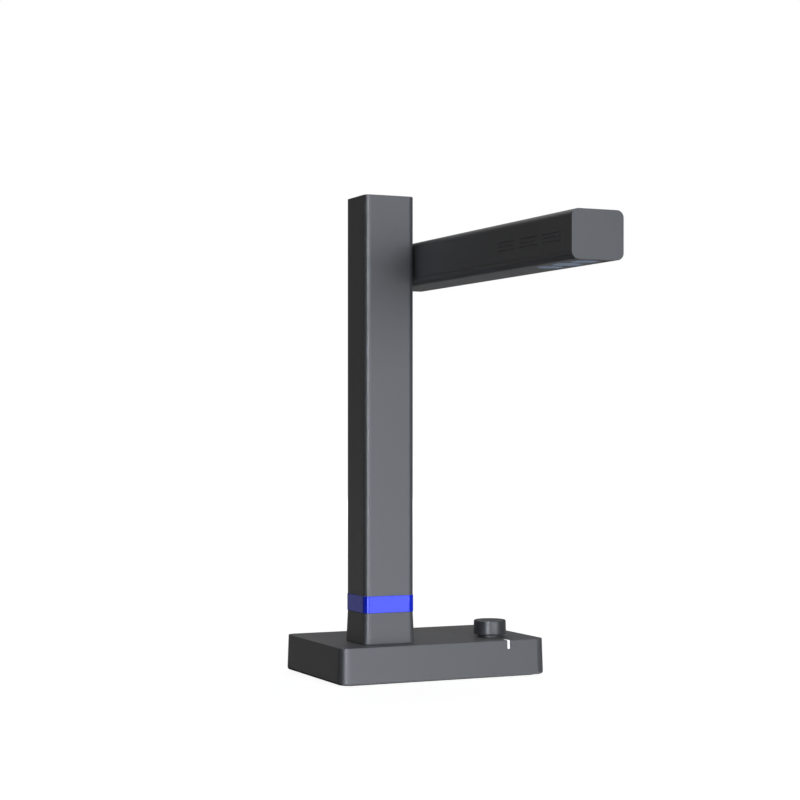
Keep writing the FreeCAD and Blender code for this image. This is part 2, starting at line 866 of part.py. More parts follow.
def hinge_stop_washer():
    """Washer with a tab that meets one stop pin at rest and the other when folded."""
    start = math.radians(-arm_fold_angle / 2 - stop_tab_half_angle)
    end = math.radians(-arm_fold_angle / 2 + stop_tab_half_angle)
    corners = [V(spring_face, post_y, arm_axis_height)]
    for angle in (start, end):
        reach = stop_tab_reach / math.cos(math.radians(stop_tab_half_angle))
        corners.append(V(spring_face, post_y + reach * math.cos(angle),
                         arm_axis_height + reach * math.sin(angle)))
    wedge = Part.Face(Part.makePolygon(corners + corners[:1])).extrude(V(stop_thickness, 0, 0))
    tab = wedge.common(cross_bar(stop_tab_reach, spring_face, stop_face))
    body = fuse_all([cross_bar(friction_radius, spring_face, stop_face), tab])
    return body.cut(keyed_bore(spring_face, stop_face))


def hinge_spring_washers():
    """Cone springs, stacked so that they face each other in turn."""
    springs = []
    pitch = spring_thickness + spring_rise
    inner = shaft_radius + key_clearance
    for count in range(spring_count):
        x_high = spring_face - count * pitch
        inner_drop, outer_drop = (0.0, spring_rise) if count % 2 else (spring_rise, 0.0)
        points = [V(x_high - inner_drop, inner, 0), V(x_high - outer_drop, spring_radius, 0),
                  V(x_high - outer_drop - spring_thickness, spring_radius, 0),
                  V(x_high - inner_drop - spring_thickness, inner, 0)]
        face = Part.Face(Part.makePolygon(points + points[:1]))
        spring = face.revolve(V(0, 0, 0), V(1, 0, 0), 360)
        spring.translate(hinge_centre)
        springs.append(spring)
    return Part.makeCompound(springs)


def hexagon(across_flats, low, height, centre, along):
    """Hexagonal prism along Z or X."""
    reach = across_flats / math.sqrt(3)
    points = []
    for side in range(7):
        angle = math.radians(60 * side)
        first = reach * math.cos(angle)
        second = reach * math.sin(angle)
        if along == "Z":
            points.append(V(centre.x + first, centre.y + second, low))
        else:
            points.append(V(low, centre.y + first, centre.z + second))
    direction = V(0, 0, height) if along == "Z" else V(height, 0, 0)
    return Part.Face(Part.makePolygon(points)).extrude(direction)


def hinge_nut():
    nut = hexagon(nut_across_flats, nut_face - nut_height, nut_height, hinge_centre, "X")
    return nut.cut(cross_bar(shaft_radius + screw_fit, nut_face - nut_height, nut_face))


def hinge_shaft():
    """Hollow flanged shaft with two flats for the keyed washers."""
    shaft = cross_bar(shaft_radius, shaft_tip, flange_face)
    radius = shaft_radius + cut_overrun
    flats = []
    for side in (-1, 1):
        near = arm_axis_height + side * shaft_flat
        far = arm_axis_height + side * radius
        flats.append(block(shaft_tip - cut_overrun, stack_start, post_y - radius, post_y + radius,
                           min(near, far), max(near, far)))
    shaft = shaft.cut(Part.makeCompound(flats))
    shaft = fuse_all([shaft, cross_bar(shaft_flange_radius, flange_face, flange_top)])
    cuts = [cross_bar(shaft_bore, shaft_tip - cut_overrun, flange_top + cut_overrun)]
    for y, z in flange_screw_places():
        cuts.append(cross_bar(screw_radius + screw_fit, flange_face - cut_overrun,
                              flange_top + cut_overrun, y, z))
    return shaft.cut(Part.makeCompound(cuts))


def flange_screw_places():
    """Offsets of the shaft flange's screws from the hinge axis."""
    reach = flange_screw_circle * math.cos(math.radians(45))
    return [(sy * reach, sz * reach) for sy in (-1, 1) for sz in (-1, 1)]


def hinge_plate_limits():
    """Front, rear, lower and upper edge of the hinge plate, as offsets from the axis."""
    half = hinge_plate_height / 2
    return -hinge_plate_front, hinge_plate_rear, -half, half


def plate_screw_places():
    """Offsets of the screws that hold the hinge plate to the arm housing."""
    front, rear, low, high = hinge_plate_limits()
    return [(y, z) for y in (front + hinge_boss_inset, rear - hinge_boss_inset)
            for z in (low + hinge_boss_inset, high - hinge_boss_inset)]


def arm_hinge_plate():
    front, rear, low, high = hinge_plate_limits()
    wire = upright_in_yz(rear - front, high - low, hinge_plate_corner, plate_face)
    wire.translate(V(0, (front + rear) / 2, 0))
    plate = prism(wire, hinge_plate_thickness, V(1, 0, 0))
    cuts = [cross_bar(shaft_radius + screw_fit, plate_face, flange_face)]
    for y, z in flange_screw_places() + plate_screw_places():
        cuts.append(cross_bar(screw_radius + screw_fit, plate_face, flange_face, y, z))
    return plate.cut(Part.makeCompound(cuts))


def arm_hinge_screws():
    """Four screws in the shaft's flange and four in the hinge plate's corners."""
    screws = []
    for y, z in flange_screw_places():
        seat = V(flange_top, post_y + y, arm_axis_height + z)
        screws.append(pan_screw(seat, V(-1, 0, 0), flange_screw_length))
    for y, z in plate_screw_places():
        seat = V(flange_face, post_y + y, arm_axis_height + z)
        screws.append(pan_screw(seat, V(-1, 0, 0), hinge_screw_length))
    return Part.makeCompound(screws)


def vent_holes():
    """Groups of small straight-sided holes through the arm's left wall."""
    holes = []
    span = (vent_columns - 1) * vent_pitch
    for group in range(vent_groups):
        middle = arm_front + vent_front_margin + group * vent_group_pitch
        for column in range(vent_columns):
            y = middle - span / 2 + column * vent_pitch
            for row in range(vent_rows):
                z = arm_axis_height - vent_drop + (row - (vent_rows - 1) / 2) * vent_pitch
                holes.append(vent_hole(y, z))
    return holes


def vent_hole(y, z):
    points = []
    for side in range(vent_sides + 1):
        angle = 2 * math.pi * (side + 0.5) / vent_sides
        points.append(V(arm_left - cut_overrun, y + vent_radius * math.cos(angle),
                        z + vent_radius * math.sin(angle)))
    return Part.Face(Part.makePolygon(points)).extrude(V(arm_wall + 2 * cut_overrun, 0, 0))


def hung_board_places(y_low, y_high, width):
    """Centres of the four bosses that a board in the arm hangs from."""
    x = width / 2 - board_boss_inset
    return [(arm_x + sx * x, y) for sx in (-1, 1)
            for y in (y_low + board_boss_inset, y_high - board_boss_inset)]


def camera_board_limits():
    return camera_y - camera_board_length / 2, camera_y + camera_board_length / 2


def arm_board_limits():
    front = camera_board_limits()[1] + arm_board_front_gap
    return front, front + arm_board_length


def all_hung_places():
    front, rear = camera_board_limits()
    places = hung_board_places(front, rear, camera_board_width)
    front, rear = arm_board_limits()
    return places + hung_board_places(front, rear, arm_board_width)


def cover_screw_places():
    """Centres of the screws that hold the arm's lower cover."""
    x = arm_width / 2 - cover_screw_inset_x
    inset = end_skirt_length + cover_boss_radius + cover_boss_gap
    front = body_front + inset
    rear = body_rear - inset
    return [(arm_x + sx * x, y) for sx in (-1, 1) for y in (front, rear)]


def arm_section(y_low, y_high, inset=0.0):
    """Length of the arm's rounded section, inset from its outside."""
    return lengthwise(arm_width - 2 * inset, arm_height - 2 * inset,
                      max(arm_corner_radius - inset, 0.8), y_low, y_high)


def arm_housing():
    shell = arm_section(body_front, body_rear)
    shell = shell.cut(arm_section(body_front - cut_overrun, body_rear + cut_overrun, arm_wall))
    shell = shell.cut(block(arm_left - cut_overrun, arm_left + arm_width + cut_overrun,
                            body_front - cut_overrun, body_rear + cut_overrun,
                            arm_bottom - cut_overrun, arm_seam))
    inside = [post_bar(board_boss_radius, x, y, hung_board_top, arm_ceiling + cut_overrun)
              for x, y in all_hung_places()]
    inner_wall = arm_left + arm_wall - cut_overrun
    for y, z in plate_screw_places():
        inside.append(cross_bar(hinge_boss_radius, inner_wall, plate_face, y, z))
    inside.append(cross_bar(hinge_ring_boss_radius, inner_wall, plate_face))
    for x, y in cover_screw_places():
        inside.append(post_bar(cover_boss_radius, x, y, arm_floor, arm_ceiling + cut_overrun))
    shell = fuse_all([shell] + inside)
    cuts = vent_holes()
    cuts.append(cross_bar(shaft_radius + shaft_clearance, arm_left - cut_overrun,
                          plate_face + cut_overrun))
    for x, y in all_hung_places():
        cuts.append(post_bar(screw_radius + screw_fit, x, y, hung_board_top - cut_overrun,
                             hung_board_bottom + board_screw_length + cut_overrun))
    for y, z in plate_screw_places():
        cuts.append(cross_bar(screw_radius + screw_fit, arm_left + arm_wall - cut_overrun,
                              plate_face + cut_overrun, y, z))
    for x, y in cover_screw_places():
        cuts.append(post_bar(screw_radius + screw_fit, x, y, arm_floor - cut_overrun,
                             arm_bottom + cover_screw_length + cut_overrun))
    return shell.cut(Part.makeCompound(cuts))


def window_places():
    """Centre and radius of the three windows under the arm."""
    return [(front_lamp_y, lamp_window_radius), (camera_y, camera_window_radius),
            (rear_lamp_y, lamp_window_radius)]


def lamp_ear_places(lamp_y):
    return [(arm_x + side * lamp_ear_reach, lamp_y) for side in (-1, 1)]


def arm_bottom_cover():
    cover = arm_section(body_front, body_rear)
    cover = cover.cut(arm_section(body_front - cut_overrun, body_rear + cut_overrun, arm_wall))
    above = block(arm_left - cut_overrun, arm_left + arm_width + cut_overrun,
                  body_front - cut_overrun, body_rear + cut_overrun,
                  arm_seam, arm_top + cut_overrun)
    cover = cover.cut(above)
    added = cover_lips()
    reflector_top = arm_floor + reflector_height
    for lamp_y in (front_lamp_y, rear_lamp_y):
        for x, y in lamp_ear_places(lamp_y):
            added.append(post_bar(screw_head_radius, x, y, arm_floor - cut_overrun, reflector_top))
    cover = fuse_all([cover] + added)
    cuts = cover_seam_grooves()
    for y, radius in window_places():
        seat = arm_bottom + window_thickness
        cuts.append(post_bar(radius + window_gap, arm_x, y, arm_bottom - cut_overrun, seat))
        cuts.append(post_bar(radius - window_ledge, arm_x, y, seat, arm_floor + cut_overrun))
    cuts += [sunk_hole(x, y, arm_bottom, arm_wall + cut_overrun) for x, y in cover_screw_places()]
    return cover.cut(Part.makeCompound(cuts))


def cover_lips():
    """Locating lips that stand up inside the housing's side walls."""
    lips = []
    low = arm_floor - cut_overrun
    high = arm_seam + arm_lip_height
    y_low = body_front + end_skirt_length + cut_overrun
    y_high = body_rear - end_skirt_length - cut_overrun
    left = arm_left + arm_wall + arm_lip_gap
    right = arm_left + arm_width - arm_wall - arm_lip_gap
    clear = hinge_ring_boss_radius + cut_overrun
    lips.append(block(left, left + arm_lip_thickness, y_low, post_y - clear, low, high))
    lips.append(block(left, left + arm_lip_thickness, post_y + clear, y_high, low, high))
    lips.append(block(right - arm_lip_thickness, right, y_low, y_high, low, high))
    return lips


def cover_seam_grooves():
    """Fine groove along the parting line on both sides."""
    grooves = []
    for side in (-1, 1):
        outer = arm_x + side * (arm_width / 2 + cut_overrun)
        inner = arm_x + side * (arm_width / 2 - arm_seam_groove)
        grooves.append(block(min(outer, inner), max(outer, inner), body_front - cut_overrun,
                             body_rear + cut_overrun, arm_seam - arm_seam_groove,
                             arm_seam + cut_overrun))
    return grooves


def arm_cover_screws():
    return Part.makeCompound([countersunk_screw(x, y, arm_bottom, cover_screw_length)
                              for x, y in cover_screw_places()])


def end_cap(outer_y, inward):
    """Flat end plate with a skirt that fits inside the arm."""
    inner_y = outer_y + inward * end_cap_thickness
    skirt_y = inner_y + inward * end_skirt_length
    plate = arm_section(min(outer_y, inner_y), max(outer_y, inner_y))
    inset = arm_wall + arm_lip_gap
    skirt = arm_section(min(inner_y, skirt_y), max(inner_y, skirt_y), inset)
    skirt = skirt.cut(arm_section(min(inner_y, skirt_y), max(inner_y, skirt_y),
                                  inset + end_skirt_wall))
    return fuse_all([plate, skirt])


def arm_board():
    front, rear = arm_board_limits()
    half = arm_board_width / 2
    board = block(arm_x - half, arm_x + half, front, rear, hung_board_bottom, hung_board_top)
    chip_y = heat_sink_front() + heat_sink_length / 2
    chip = chip_size / 2
    parts = [block(arm_x - chip, arm_x + chip, chip_y - chip, chip_y + chip,
                   hung_board_bottom - chip_height, hung_board_bottom)]
    plug = arm_cable_x()
    plug_half = connector_width / 2
    parts.append(block(plug - plug_half, plug + plug_half, rear - connector_depth, rear,
                       hung_board_bottom - connector_height, hung_board_bottom))
    board = fuse_all([board] + parts)
    return cut_board_holes(board, hung_board_places(front, rear, arm_board_width))


def cut_board_holes(board, places):
    """Clearance holes for a hung board's screws."""
    holes = [post_bar(screw_radius + bolt_clearance, x, y, hung_board_bottom - cut_overrun,
                      hung_board_top + cut_overrun) for x, y in places]
    return board.cut(Part.makeCompound(holes))


def heat_sink_front():
    """The heat sink starts just behind the rear lamp."""
    return rear_lamp_y + reflector_radius + heat_sink_gap


def heat_sink():
    """Finned block under the processor, its fins running across the arm."""
    front = heat_sink_front()
    rear = front + heat_sink_length
    top = hung_board_bottom - chip_height
    half = heat_sink_width / 2
    sink = block(arm_x - half, arm_x + half, front, rear, top - heat_sink_height, top)
    pitch = (heat_sink_length - heat_sink_fin) / (heat_sink_fins - 1)
    slots = []
    for gap in range(heat_sink_fins - 1):
        y = front + heat_sink_fin + gap * pitch
        slots.append(block(arm_x - half - cut_overrun, arm_x + half + cut_overrun,
                           y, y + pitch - heat_sink_fin,
                           top - heat_sink_height - cut_overrun, top - heat_sink_floor))
    return sink.cut(Part.makeCompound(slots))


def arm_board_screws():
    seats = [V(x, y, hung_board_bottom) for x, y in all_hung_places()]
    return Part.makeCompound([pan_screw(s, V(0, 0, 1), board_screw_length) for s in seats])


def camera_board():
    front, rear = camera_board_limits()
    half = camera_board_width / 2
    board = block(arm_x - half, arm_x + half, front, rear, hung_board_bottom, hung_board_top)
    return cut_board_holes(board, hung_board_places(front, rear, camera_board_width))


def image_sensor():
    half = sensor_size / 2
    return block(arm_x - half, arm_x + half, camera_y - half, camera_y + half,
                 hung_board_bottom - sensor_height, hung_board_bottom)


def lens_tip():
    """Lower end of the lens barrel, just above the camera window."""
    return arm_bottom + window_thickness + lens_window_gap


def lens_mount():
    top = hung_board_bottom
    low = top - lens_mount_height
    mount = upright(lens_mount_size, lens_mount_size, 2.0, arm_x, camera_y, low, top)
    inner = lens_mount_size - 2 * lens_mount_wall
    cuts = [upright(inner, inner, 1.0, arm_x, camera_y, low + lens_mount_wall, top + cut_overrun),
            post_bar(lens_barrel_radius + lens_thread_gap, arm_x, camera_y,
                     low - cut_overrun, top)]
    return mount.cut(Part.makeCompound(cuts))


def lens_barrel():
    low = lens_tip()
    high = hung_board_bottom - lens_mount_height + lens_mount_wall
    rim = lens_barrel_radius + lens_barrel_rim
    seat = low + lens_glass_crown + lens_glass_edge
    return turned([(lens_glass_radius + lens_thread_gap, low), (rim, low),
                   (rim, low + lens_barrel_rim_height),
                   (lens_barrel_radius, low + lens_barrel_rim_height), (lens_barrel_radius, high),
                   (lens_barrel_bore, high), (lens_barrel_bore, seat),
                   (lens_glass_radius + lens_thread_gap, seat)], arm_x, camera_y)


def lens_glass():
    """Front lens: a disc with a crowned lower face."""
    low = lens_tip()
    seat = low + lens_glass_crown
    tip = V(arm_x, camera_y, low + 0.2)
    edge = V(arm_x + lens_glass_radius, camera_y, seat)
    rise = (lens_glass_crown - 0.2)
    sphere = (lens_glass_radius ** 2 + rise ** 2) / (2 * rise)
    part_way = math.asin(lens_glass_radius / sphere) / 2
    middle = V(arm_x + sphere * math.sin(part_way), camera_y,
               tip.z + sphere * (1 - math.cos(part_way)))
    top = seat + lens_glass_edge
    edges = [Part.Arc(tip, middle, edge).toShape(),
             Part.makeLine(edge, V(edge.x, camera_y, top)),
             Part.makeLine(V(edge.x, camera_y, top), V(arm_x, camera_y, top)),
             Part.makeLine(V(arm_x, camera_y, top), tip)]
    return Part.Face(Part.Wire(edges)).revolve(tip, V(0, 0, 1), 360)


def window(y, radius):
    return post_bar(radius, arm_x, y, arm_bottom, arm_bottom + window_thickness)


def lamp_board(lamp_y):
    low = arm_floor + reflector_height
    high = low + board_thickness
    half = lamp_ear_width / 2
    reach = lamp_ear_reach + screw_head_radius
    board = fuse_all([post_bar(reflector_radius, arm_x, lamp_y, low, high),
                      block(arm_x - reach, arm_x + reach, lamp_y - half, lamp_y + half, low, high)])
    chip = lamp_chip_size / 2
    return fuse_all([board, block(arm_x - chip, arm_x + chip, lamp_y - chip, lamp_y + chip,
                                  low - lamp_chip_height, low)])


def lamp_reflector(lamp_y):
    low = arm_floor
    high = low + reflector_height
    mouth = reflector_radius - reflector_wall
    return turned([(mouth, low), (reflector_radius, low), (reflector_radius, high),
                   (reflector_throat + reflector_wall, high),
                   (reflector_throat + reflector_wall, high - reflector_wall)], arm_x, lamp_y)


def main_board():
    rear = main_board_rear()
    half = main_board_width / 2
    top = board_top()
    low = top - board_thickness
    board = block(main_board_x - half, main_board_x + half, rear - main_board_depth, rear, low, top)
    chip = chip_size / 2
    chip_x = main_board_x + main_chip_offset
    chip_y = rear - main_board_depth / 2
    parts = [block(chip_x - chip, chip_x + chip, chip_y - chip, chip_y + chip,
                   top, top + chip_height)]
    front = rear - main_board_depth
    plug_x = cable_board_x()
    parts.append(block(plug_x - connector_width / 2, plug_x + connector_width / 2,
                       front, front + connector_depth, top, top + connector_height))
    board = fuse_all([board] + parts)
    holes = [post_bar(screw_radius + bolt_clearance, x, y, low - cut_overrun, top + cut_overrun)
             for x, y in main_board_places()]
    holes += [post_bar(plate_boss_radius + weight_boss_gap, x, y, low - cut_overrun,
                       top + cut_overrun) for x, y in plate_boss_places()]
    return board.cut(Part.makeCompound(holes))


def main_board_screws():
    low = board_top() - board_thickness
    return Part.makeCompound([pan_screw(V(x, y, low), V(0, 0, 1), board_screw_length)
                              for x, y in main_board_places()])


def data_socket():
    """Flat oval metal socket with a tongue inside."""
    z = board_top() + data_socket_height / 2
    mouth = rear_face(z) - socket_recess
    shell = oval_block(data_socket_width, data_socket_height, mouth - data_socket_depth, mouth, z)
    wall = 2 * data_socket_wall
    inside = oval_block(data_socket_width - wall, data_socket_height - wall,
                        mouth - data_socket_depth + 1.0, mouth + cut_overrun, z)
    tongue_half = data_socket_width / 2 - 1.3
    tongue = block(data_socket_x - tongue_half, data_socket_x + tongue_half,
                   mouth - data_socket_depth + 0.5, mouth - 1.0,
                   z - data_tongue_thickness / 2, z + data_tongue_thickness / 2)
    return fuse_all([shell.cut(inside), tongue])


def oval_block(width, height, y_low, y_high, z):
    wire = outline(width, height, height / 2 - 0.01)
    wire.rotate(V(0, 0, 0), V(1, 0, 0), 90)
    wire.translate(V(data_socket_x, y_low, z))
    return prism(wire, y_high - y_low, V(0, 1, 0))


def power_socket():
    """Round power inlet with its centre pin."""
    low = board_top()
    z = low + power_socket_height / 2
    mouth = rear_face(z) - socket_recess
    inner_wall = rear_face(low + power_socket_height) - base_side_wall - socket_gap
    half = power_socket_width / 2
    body = block(power_socket_x - half, power_socket_x + half, inner_wall - power_socket_depth,
                 inner_wall, low, low + power_socket_height)
    barrel = bar(power_barrel_radius, V(power_socket_x, inner_wall - cut_overrun, z),
                 V(power_socket_x, mouth, z))
    body = fuse_all([body, barrel])
    bore = bar(power_bore_radius, V(power_socket_x, mouth - power_bore_depth, z),
               V(power_socket_x, mouth + cut_overrun, z))
    pin = bar(power_pin_radius, V(power_socket_x, mouth - power_bore_depth - cut_overrun, z),
              V(power_socket_x, mouth - cut_overrun, z))
    return fuse_all([body.cut(bore), pin])


def encoder_bottom():
    return cavity_top - encoder_height


def rotary_encoder():
    half = encoder_size / 2
    low = encoder_bottom()
    body = block(knob_x - half, knob_x + half, knob_y - half, knob_y + half, low, cavity_top)
    bushing = post_bar(bushing_radius, knob_x, knob_y, cavity_top, base_top + bushing_rise)
    bore = post_bar(encoder_shaft_radius + encoder_shaft_fit, knob_x, knob_y,
                    low + encoder_floor, base_top + bushing_rise + cut_overrun)
    return fuse_all([body, bushing]).cut(bore)


def plunger_bottom():
    return encoder_bottom() + encoder_floor + plunger_room


def push_plunger():
    low = plunger_bottom()
    return post_bar(encoder_shaft_radius, knob_x, knob_y, low, low + plunger_height)


def encoder_shaft():
    low = plunger_bottom() + plunger_height
    high = knob_ceiling() + knob_shaft_depth
    shaft = post_bar(encoder_shaft_radius, knob_x, knob_y, low, high)
    flat = block(knob_x - encoder_shaft_radius, knob_x + encoder_shaft_radius,
                 knob_y + encoder_shaft_flat, knob_y + encoder_shaft_radius + cut_overrun,
                 knob_ceiling(), high + cut_overrun)
    return shaft.cut(flat)


def encoder_nut():
    low = base_top + collar_floor
    nut = hexagon(encoder_nut_flats, low, encoder_nut_height, V(knob_x, knob_y, 0), "Z")
    return nut.cut(post_bar(bushing_radius + screw_fit, knob_x, knob_y, low,
                            low + encoder_nut_height))


def knob_collar():
    """Low neck under the knob; the encoder's nut clamps its floor to the base."""
    top = base_top + collar_height
    return turned([(bushing_radius + bushing_gap, base_top), (collar_radius, base_top),
                   (collar_radius, top - collar_edge), (collar_radius - collar_edge, top),
                   (collar_bore, top), (collar_bore, base_top + collar_floor),
                   (bushing_radius + bushing_gap, base_top + collar_floor)], knob_x, knob_y)


def encoder_board():
    """Small board that carries the encoder and the lamp behind the index light."""
    top = encoder_bottom()
    low = top - board_thickness
    front = -base_depth / 2 + side_lean(low) + base_side_wall + main_board_rear_gap
    half = encoder_board_width / 2
    board = block(knob_x - half, knob_x + half, front, knob_y + encoder_board_rear, low, top)
    lamp = index_lamp_size / 2
    lamp_y = index_stem_y()
    return fuse_all([board, block(knob_x - lamp, knob_x + lamp, lamp_y - lamp, lamp_y + lamp,
                                  top, top + index_lamp_height)])


def index_stem_y():
    """Middle of the light guide's stem, behind the front wall."""
    front = -base_depth / 2 + side_lean(base_top) + base_side_wall
    return front + index_stem_depth / 2 + index_lamp_gap


def index_light_strip():
    """Light guide: the line on the base and the stem that feeds it."""
    strip = index_body(0)
    half = index_width / 2
    stem_y = index_stem_y()
    stem = block(knob_x - half, knob_x + half, stem_y - index_stem_depth / 2,
                 stem_y + index_stem_depth / 2,
                 encoder_bottom() + index_lamp_height + index_lamp_gap, cavity_top)
    return fuse_all([strip, stem])


def knob_bottom():
    return base_top + knob_gap


def knob_ceiling():
    """Roof of the knob's hollow underside."""
    return knob_bottom() + knob_cavity_depth


def control_knob():
    """Turned knob: rounded edges, leaning side, hollow underside over the collar."""
    low = knob_bottom()
    high = low + knob_height
    foot = knob_radius
    head = knob_radius - knob_draft
    rows = arc_points(foot - knob_bottom_round, low + knob_bottom_round, knob_bottom_round, -90, 0)
    rows += arc_points(head - knob_top_round, high - knob_top_round, knob_top_round, 0, 90)
    lower, upper = rows[:3], rows[3:]
    edges = [Part.makeLine(V(knob_cavity_radius, 0, low), lower[0]),
             Part.Arc(*lower).toShape(),
             Part.makeLine(lower[2], upper[0]),
             Part.Arc(*upper).toShape(),
             Part.makeLine(upper[2], V(0, 0, high)),
             Part.makeLine(V(0, 0, high), V(0, 0, knob_ceiling())),
             Part.makeLine(V(0, 0, knob_ceiling()), V(knob_cavity_radius, 0, knob_ceiling())),
             Part.makeLine(V(knob_cavity_radius, 0, knob_ceiling()), V(knob_cavity_radius, 0, low))]
    knob = Part.Face(Part.Wire(edges)).revolve(V(0, 0, 0), V(0, 0, 1), 360)
    knob.translate(V(knob_x, knob_y, 0))
    top = knob_ceiling() + knob_shaft_depth
    socket = post_bar(encoder_shaft_radius, knob_x, knob_y, knob_ceiling() - cut_overrun, top)
    keep = block(knob_x - encoder_shaft_radius, knob_x + encoder_shaft_radius,
                 knob_y - encoder_shaft_radius, knob_y + encoder_shaft_flat,
                 knob_ceiling() - cut_overrun, top)
    return knob.cut(socket.common(keep))


def arc_points(cx, cz, radius, start, end):
    """Start, middle and end of an arc in the XZ plane."""
    angles = (start, (start + end) / 2, end)
    return [V(cx + radius * math.cos(math.radians(a)), 0, cz + radius * math.sin(math.radians(a)))
            for a in angles]


def rounded_path(points, radii):
    """Straight runs joined by tangent arcs, one radius for each inner point."""
    edges = []
    here = points[0]
    for count, radius in enumerate(radii):
        corner = points[count + 1]
        before = (points[count] - corner).normalize()
        after = (points[count + 2] - corner).normalize()
        turn = math.pi - before.getAngle(after)
        setback = radius * math.tan(turn / 2)
        start = corner + before * setback
        end = corner + after * setback
        inward = (before + after).normalize()
        centre = corner + inward * (radius / math.cos(turn / 2))
        edges.append(Part.makeLine(here, start))
        edges.append(Part.Arc(start, centre - inward * radius, end).toShape())
        here = end
    edges.append(Part.makeLine(here, points[-1]))
    return Part.Wire(edges)


def cable(points, radii):
    """Round cable along a path of runs and arcs."""
    path = rounded_path(points, radii)
    direction = (points[1] - points[0]).normalize()
    ring = Part.Wire(Part.makeCircle(cable_radius, points[0], direction))
    return path.makePipeShell([ring], True, False)


def cable_board_x():
    """Where the post cable meets the main board, clear of its corner boss."""
    return main_board_x - main_board_width / 2 + 2 * board_boss_inset + connector_width / 2


def arm_cable_x():
    """Where the arm cable runs along the arm, one bend away from the hinge."""
    return flange_top + cable_arm_bend + cable_radius


def arm_cable():
    """From the middle of the hinge to the rear end of the arm board."""
    start = V(cable_joint_x, post_y, arm_axis_height)
    corner = V(arm_cable_x(), post_y, arm_axis_height)
    plug = V(arm_cable_x(), arm_board_limits()[1], arm_axis_height)
    return cable([start, corner, plug], [cable_arm_bend])


def post_cable():
    """From the middle of the hinge down the post and out to the main board."""
    down_x = shaft_tip - cable_bend - cable_exit_gap
    low = board_top() + connector_height / 2
    front = main_board_rear() - main_board_depth
    between = (post_y + core_depth / 2 + front) / 2
    plug_x = cable_board_x()
    shift_low = weight_top + cable_shift_height
    return cable([V(cable_joint_x, post_y, arm_axis_height),
                  V(down_x, post_y, arm_axis_height),
                  V(down_x, post_y, shift_low + cable_shift_length),
                  V(post_x, post_y, shift_low),
                  V(post_x, post_y, low),
                  V(post_x, between, low),
                  V(plug_x, between, low),
                  V(plug_x, front, low)],
                 [cable_bend, cable_shift_bend, cable_shift_bend] + 3 * [cable_base_bend])


def build():
    """Every sub-part by name."""
    return {
        "rubber_foot_ring": rubber_foot_ring(),
        "base_bottom_plate": base_bottom_plate(),
        "bottom_plate_screws": bottom_plate_screws(),
        "base_weight": base_weight(),
        "base_housing": base_housing(),
        "main_board": main_board(),
        "main_board_screws": main_board_screws(),
        "data_socket": data_socket(),
        "power_socket": power_socket(),
        "encoder_board": encoder_board(),
        "rotary_encoder": rotary_encoder(),
        "encoder_nut": encoder_nut(),
        "knob_collar": knob_collar(),
        "index_light_strip": index_light_strip(),
        "push_plunger": push_plunger(),
        "encoder_shaft": encoder_shaft(),
        "control_knob": control_knob(),
        "post_core": post_core(),
        "core_bolts": core_bolts(),
        "post_foot": post_foot(),
        "light_ring": light_ring(),
        "ring_lamp_strip": ring_lamp_strip(),
        "post_shell": post_shell(),
        "post_top_cap": post_top_cap(),
        "hinge_block": hinge_block(),
        "hinge_block_screws": hinge_block_screws(),
        "hinge_bush": hinge_bush(),
        "hinge_slip_ring": hinge_slip_ring(),
        "fixed_friction_washers": fixed_friction_washers(),
        "hinge_stop_pins": hinge_stop_pins(),
        "post_cable": post_cable(),
        "hinge_shaft": hinge_shaft(),
        "turning_friction_washers": turning_friction_washers(),
        "hinge_stop_washer": hinge_stop_washer(),
        "hinge_spring_washers": hinge_spring_washers(),
        "hinge_nut": hinge_nut(),
        "arm_hinge_plate": arm_hinge_plate(),
        "arm_hinge_screws": arm_hinge_screws(),
        "arm_housing": arm_housing(),
        "arm_bottom_cover": arm_bottom_cover(),
        "arm_cover_screws": arm_cover_screws(),
        "arm_front_cap": end_cap(arm_front, 1),
        "arm_rear_cap": end_cap(arm_rear, -1),
        "arm_board": arm_board(),
        "arm_board_screws": arm_board_screws(),
        "heat_sink": heat_sink(),
        "camera_board": camera_board(),
        "image_sensor": image_sensor(),
        "lens_mount": lens_mount(),
        "lens_barrel": lens_barrel(),
        "lens_glass": lens_glass(),
        "camera_window": window(camera_y, camera_window_radius),
        "front_lamp_window": window(front_lamp_y, lamp_window_radius),
        "rear_lamp_window": window(rear_lamp_y, lamp_window_radius),
        "front_lamp_board": lamp_board(front_lamp_y),
        "rear_lamp_board": lamp_board(rear_lamp_y),
        "front_lamp_reflector": lamp_reflector(front_lamp_y),
        "rear_lamp_reflector": lamp_reflector(rear_lamp_y),
        "arm_cable": arm_cable(),
    }


os.makedirs("parts", exist_ok=True)
for name, shape in build().items():
    shape.exportStep("parts/%s.step" % name)
    print("%-26s %9.1f mm3  %d solid(s)" % (name, shape.Volume, len(shape.Solids)))
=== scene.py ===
# %% [markdown]
# # Dressing the overhead book scanner
# The model that this script loads already has every piece at its real size and place.
# What is left to make is what light does with it: satin plastic, painted aluminium, a
# gloss blue band, frosted windows, and small shapes that are too fine for the frame.
# Everything is in metres, +Z is up, the scanner faces -Y and stands on the floor at z = 0.

# %% Load the frame
import json
import math

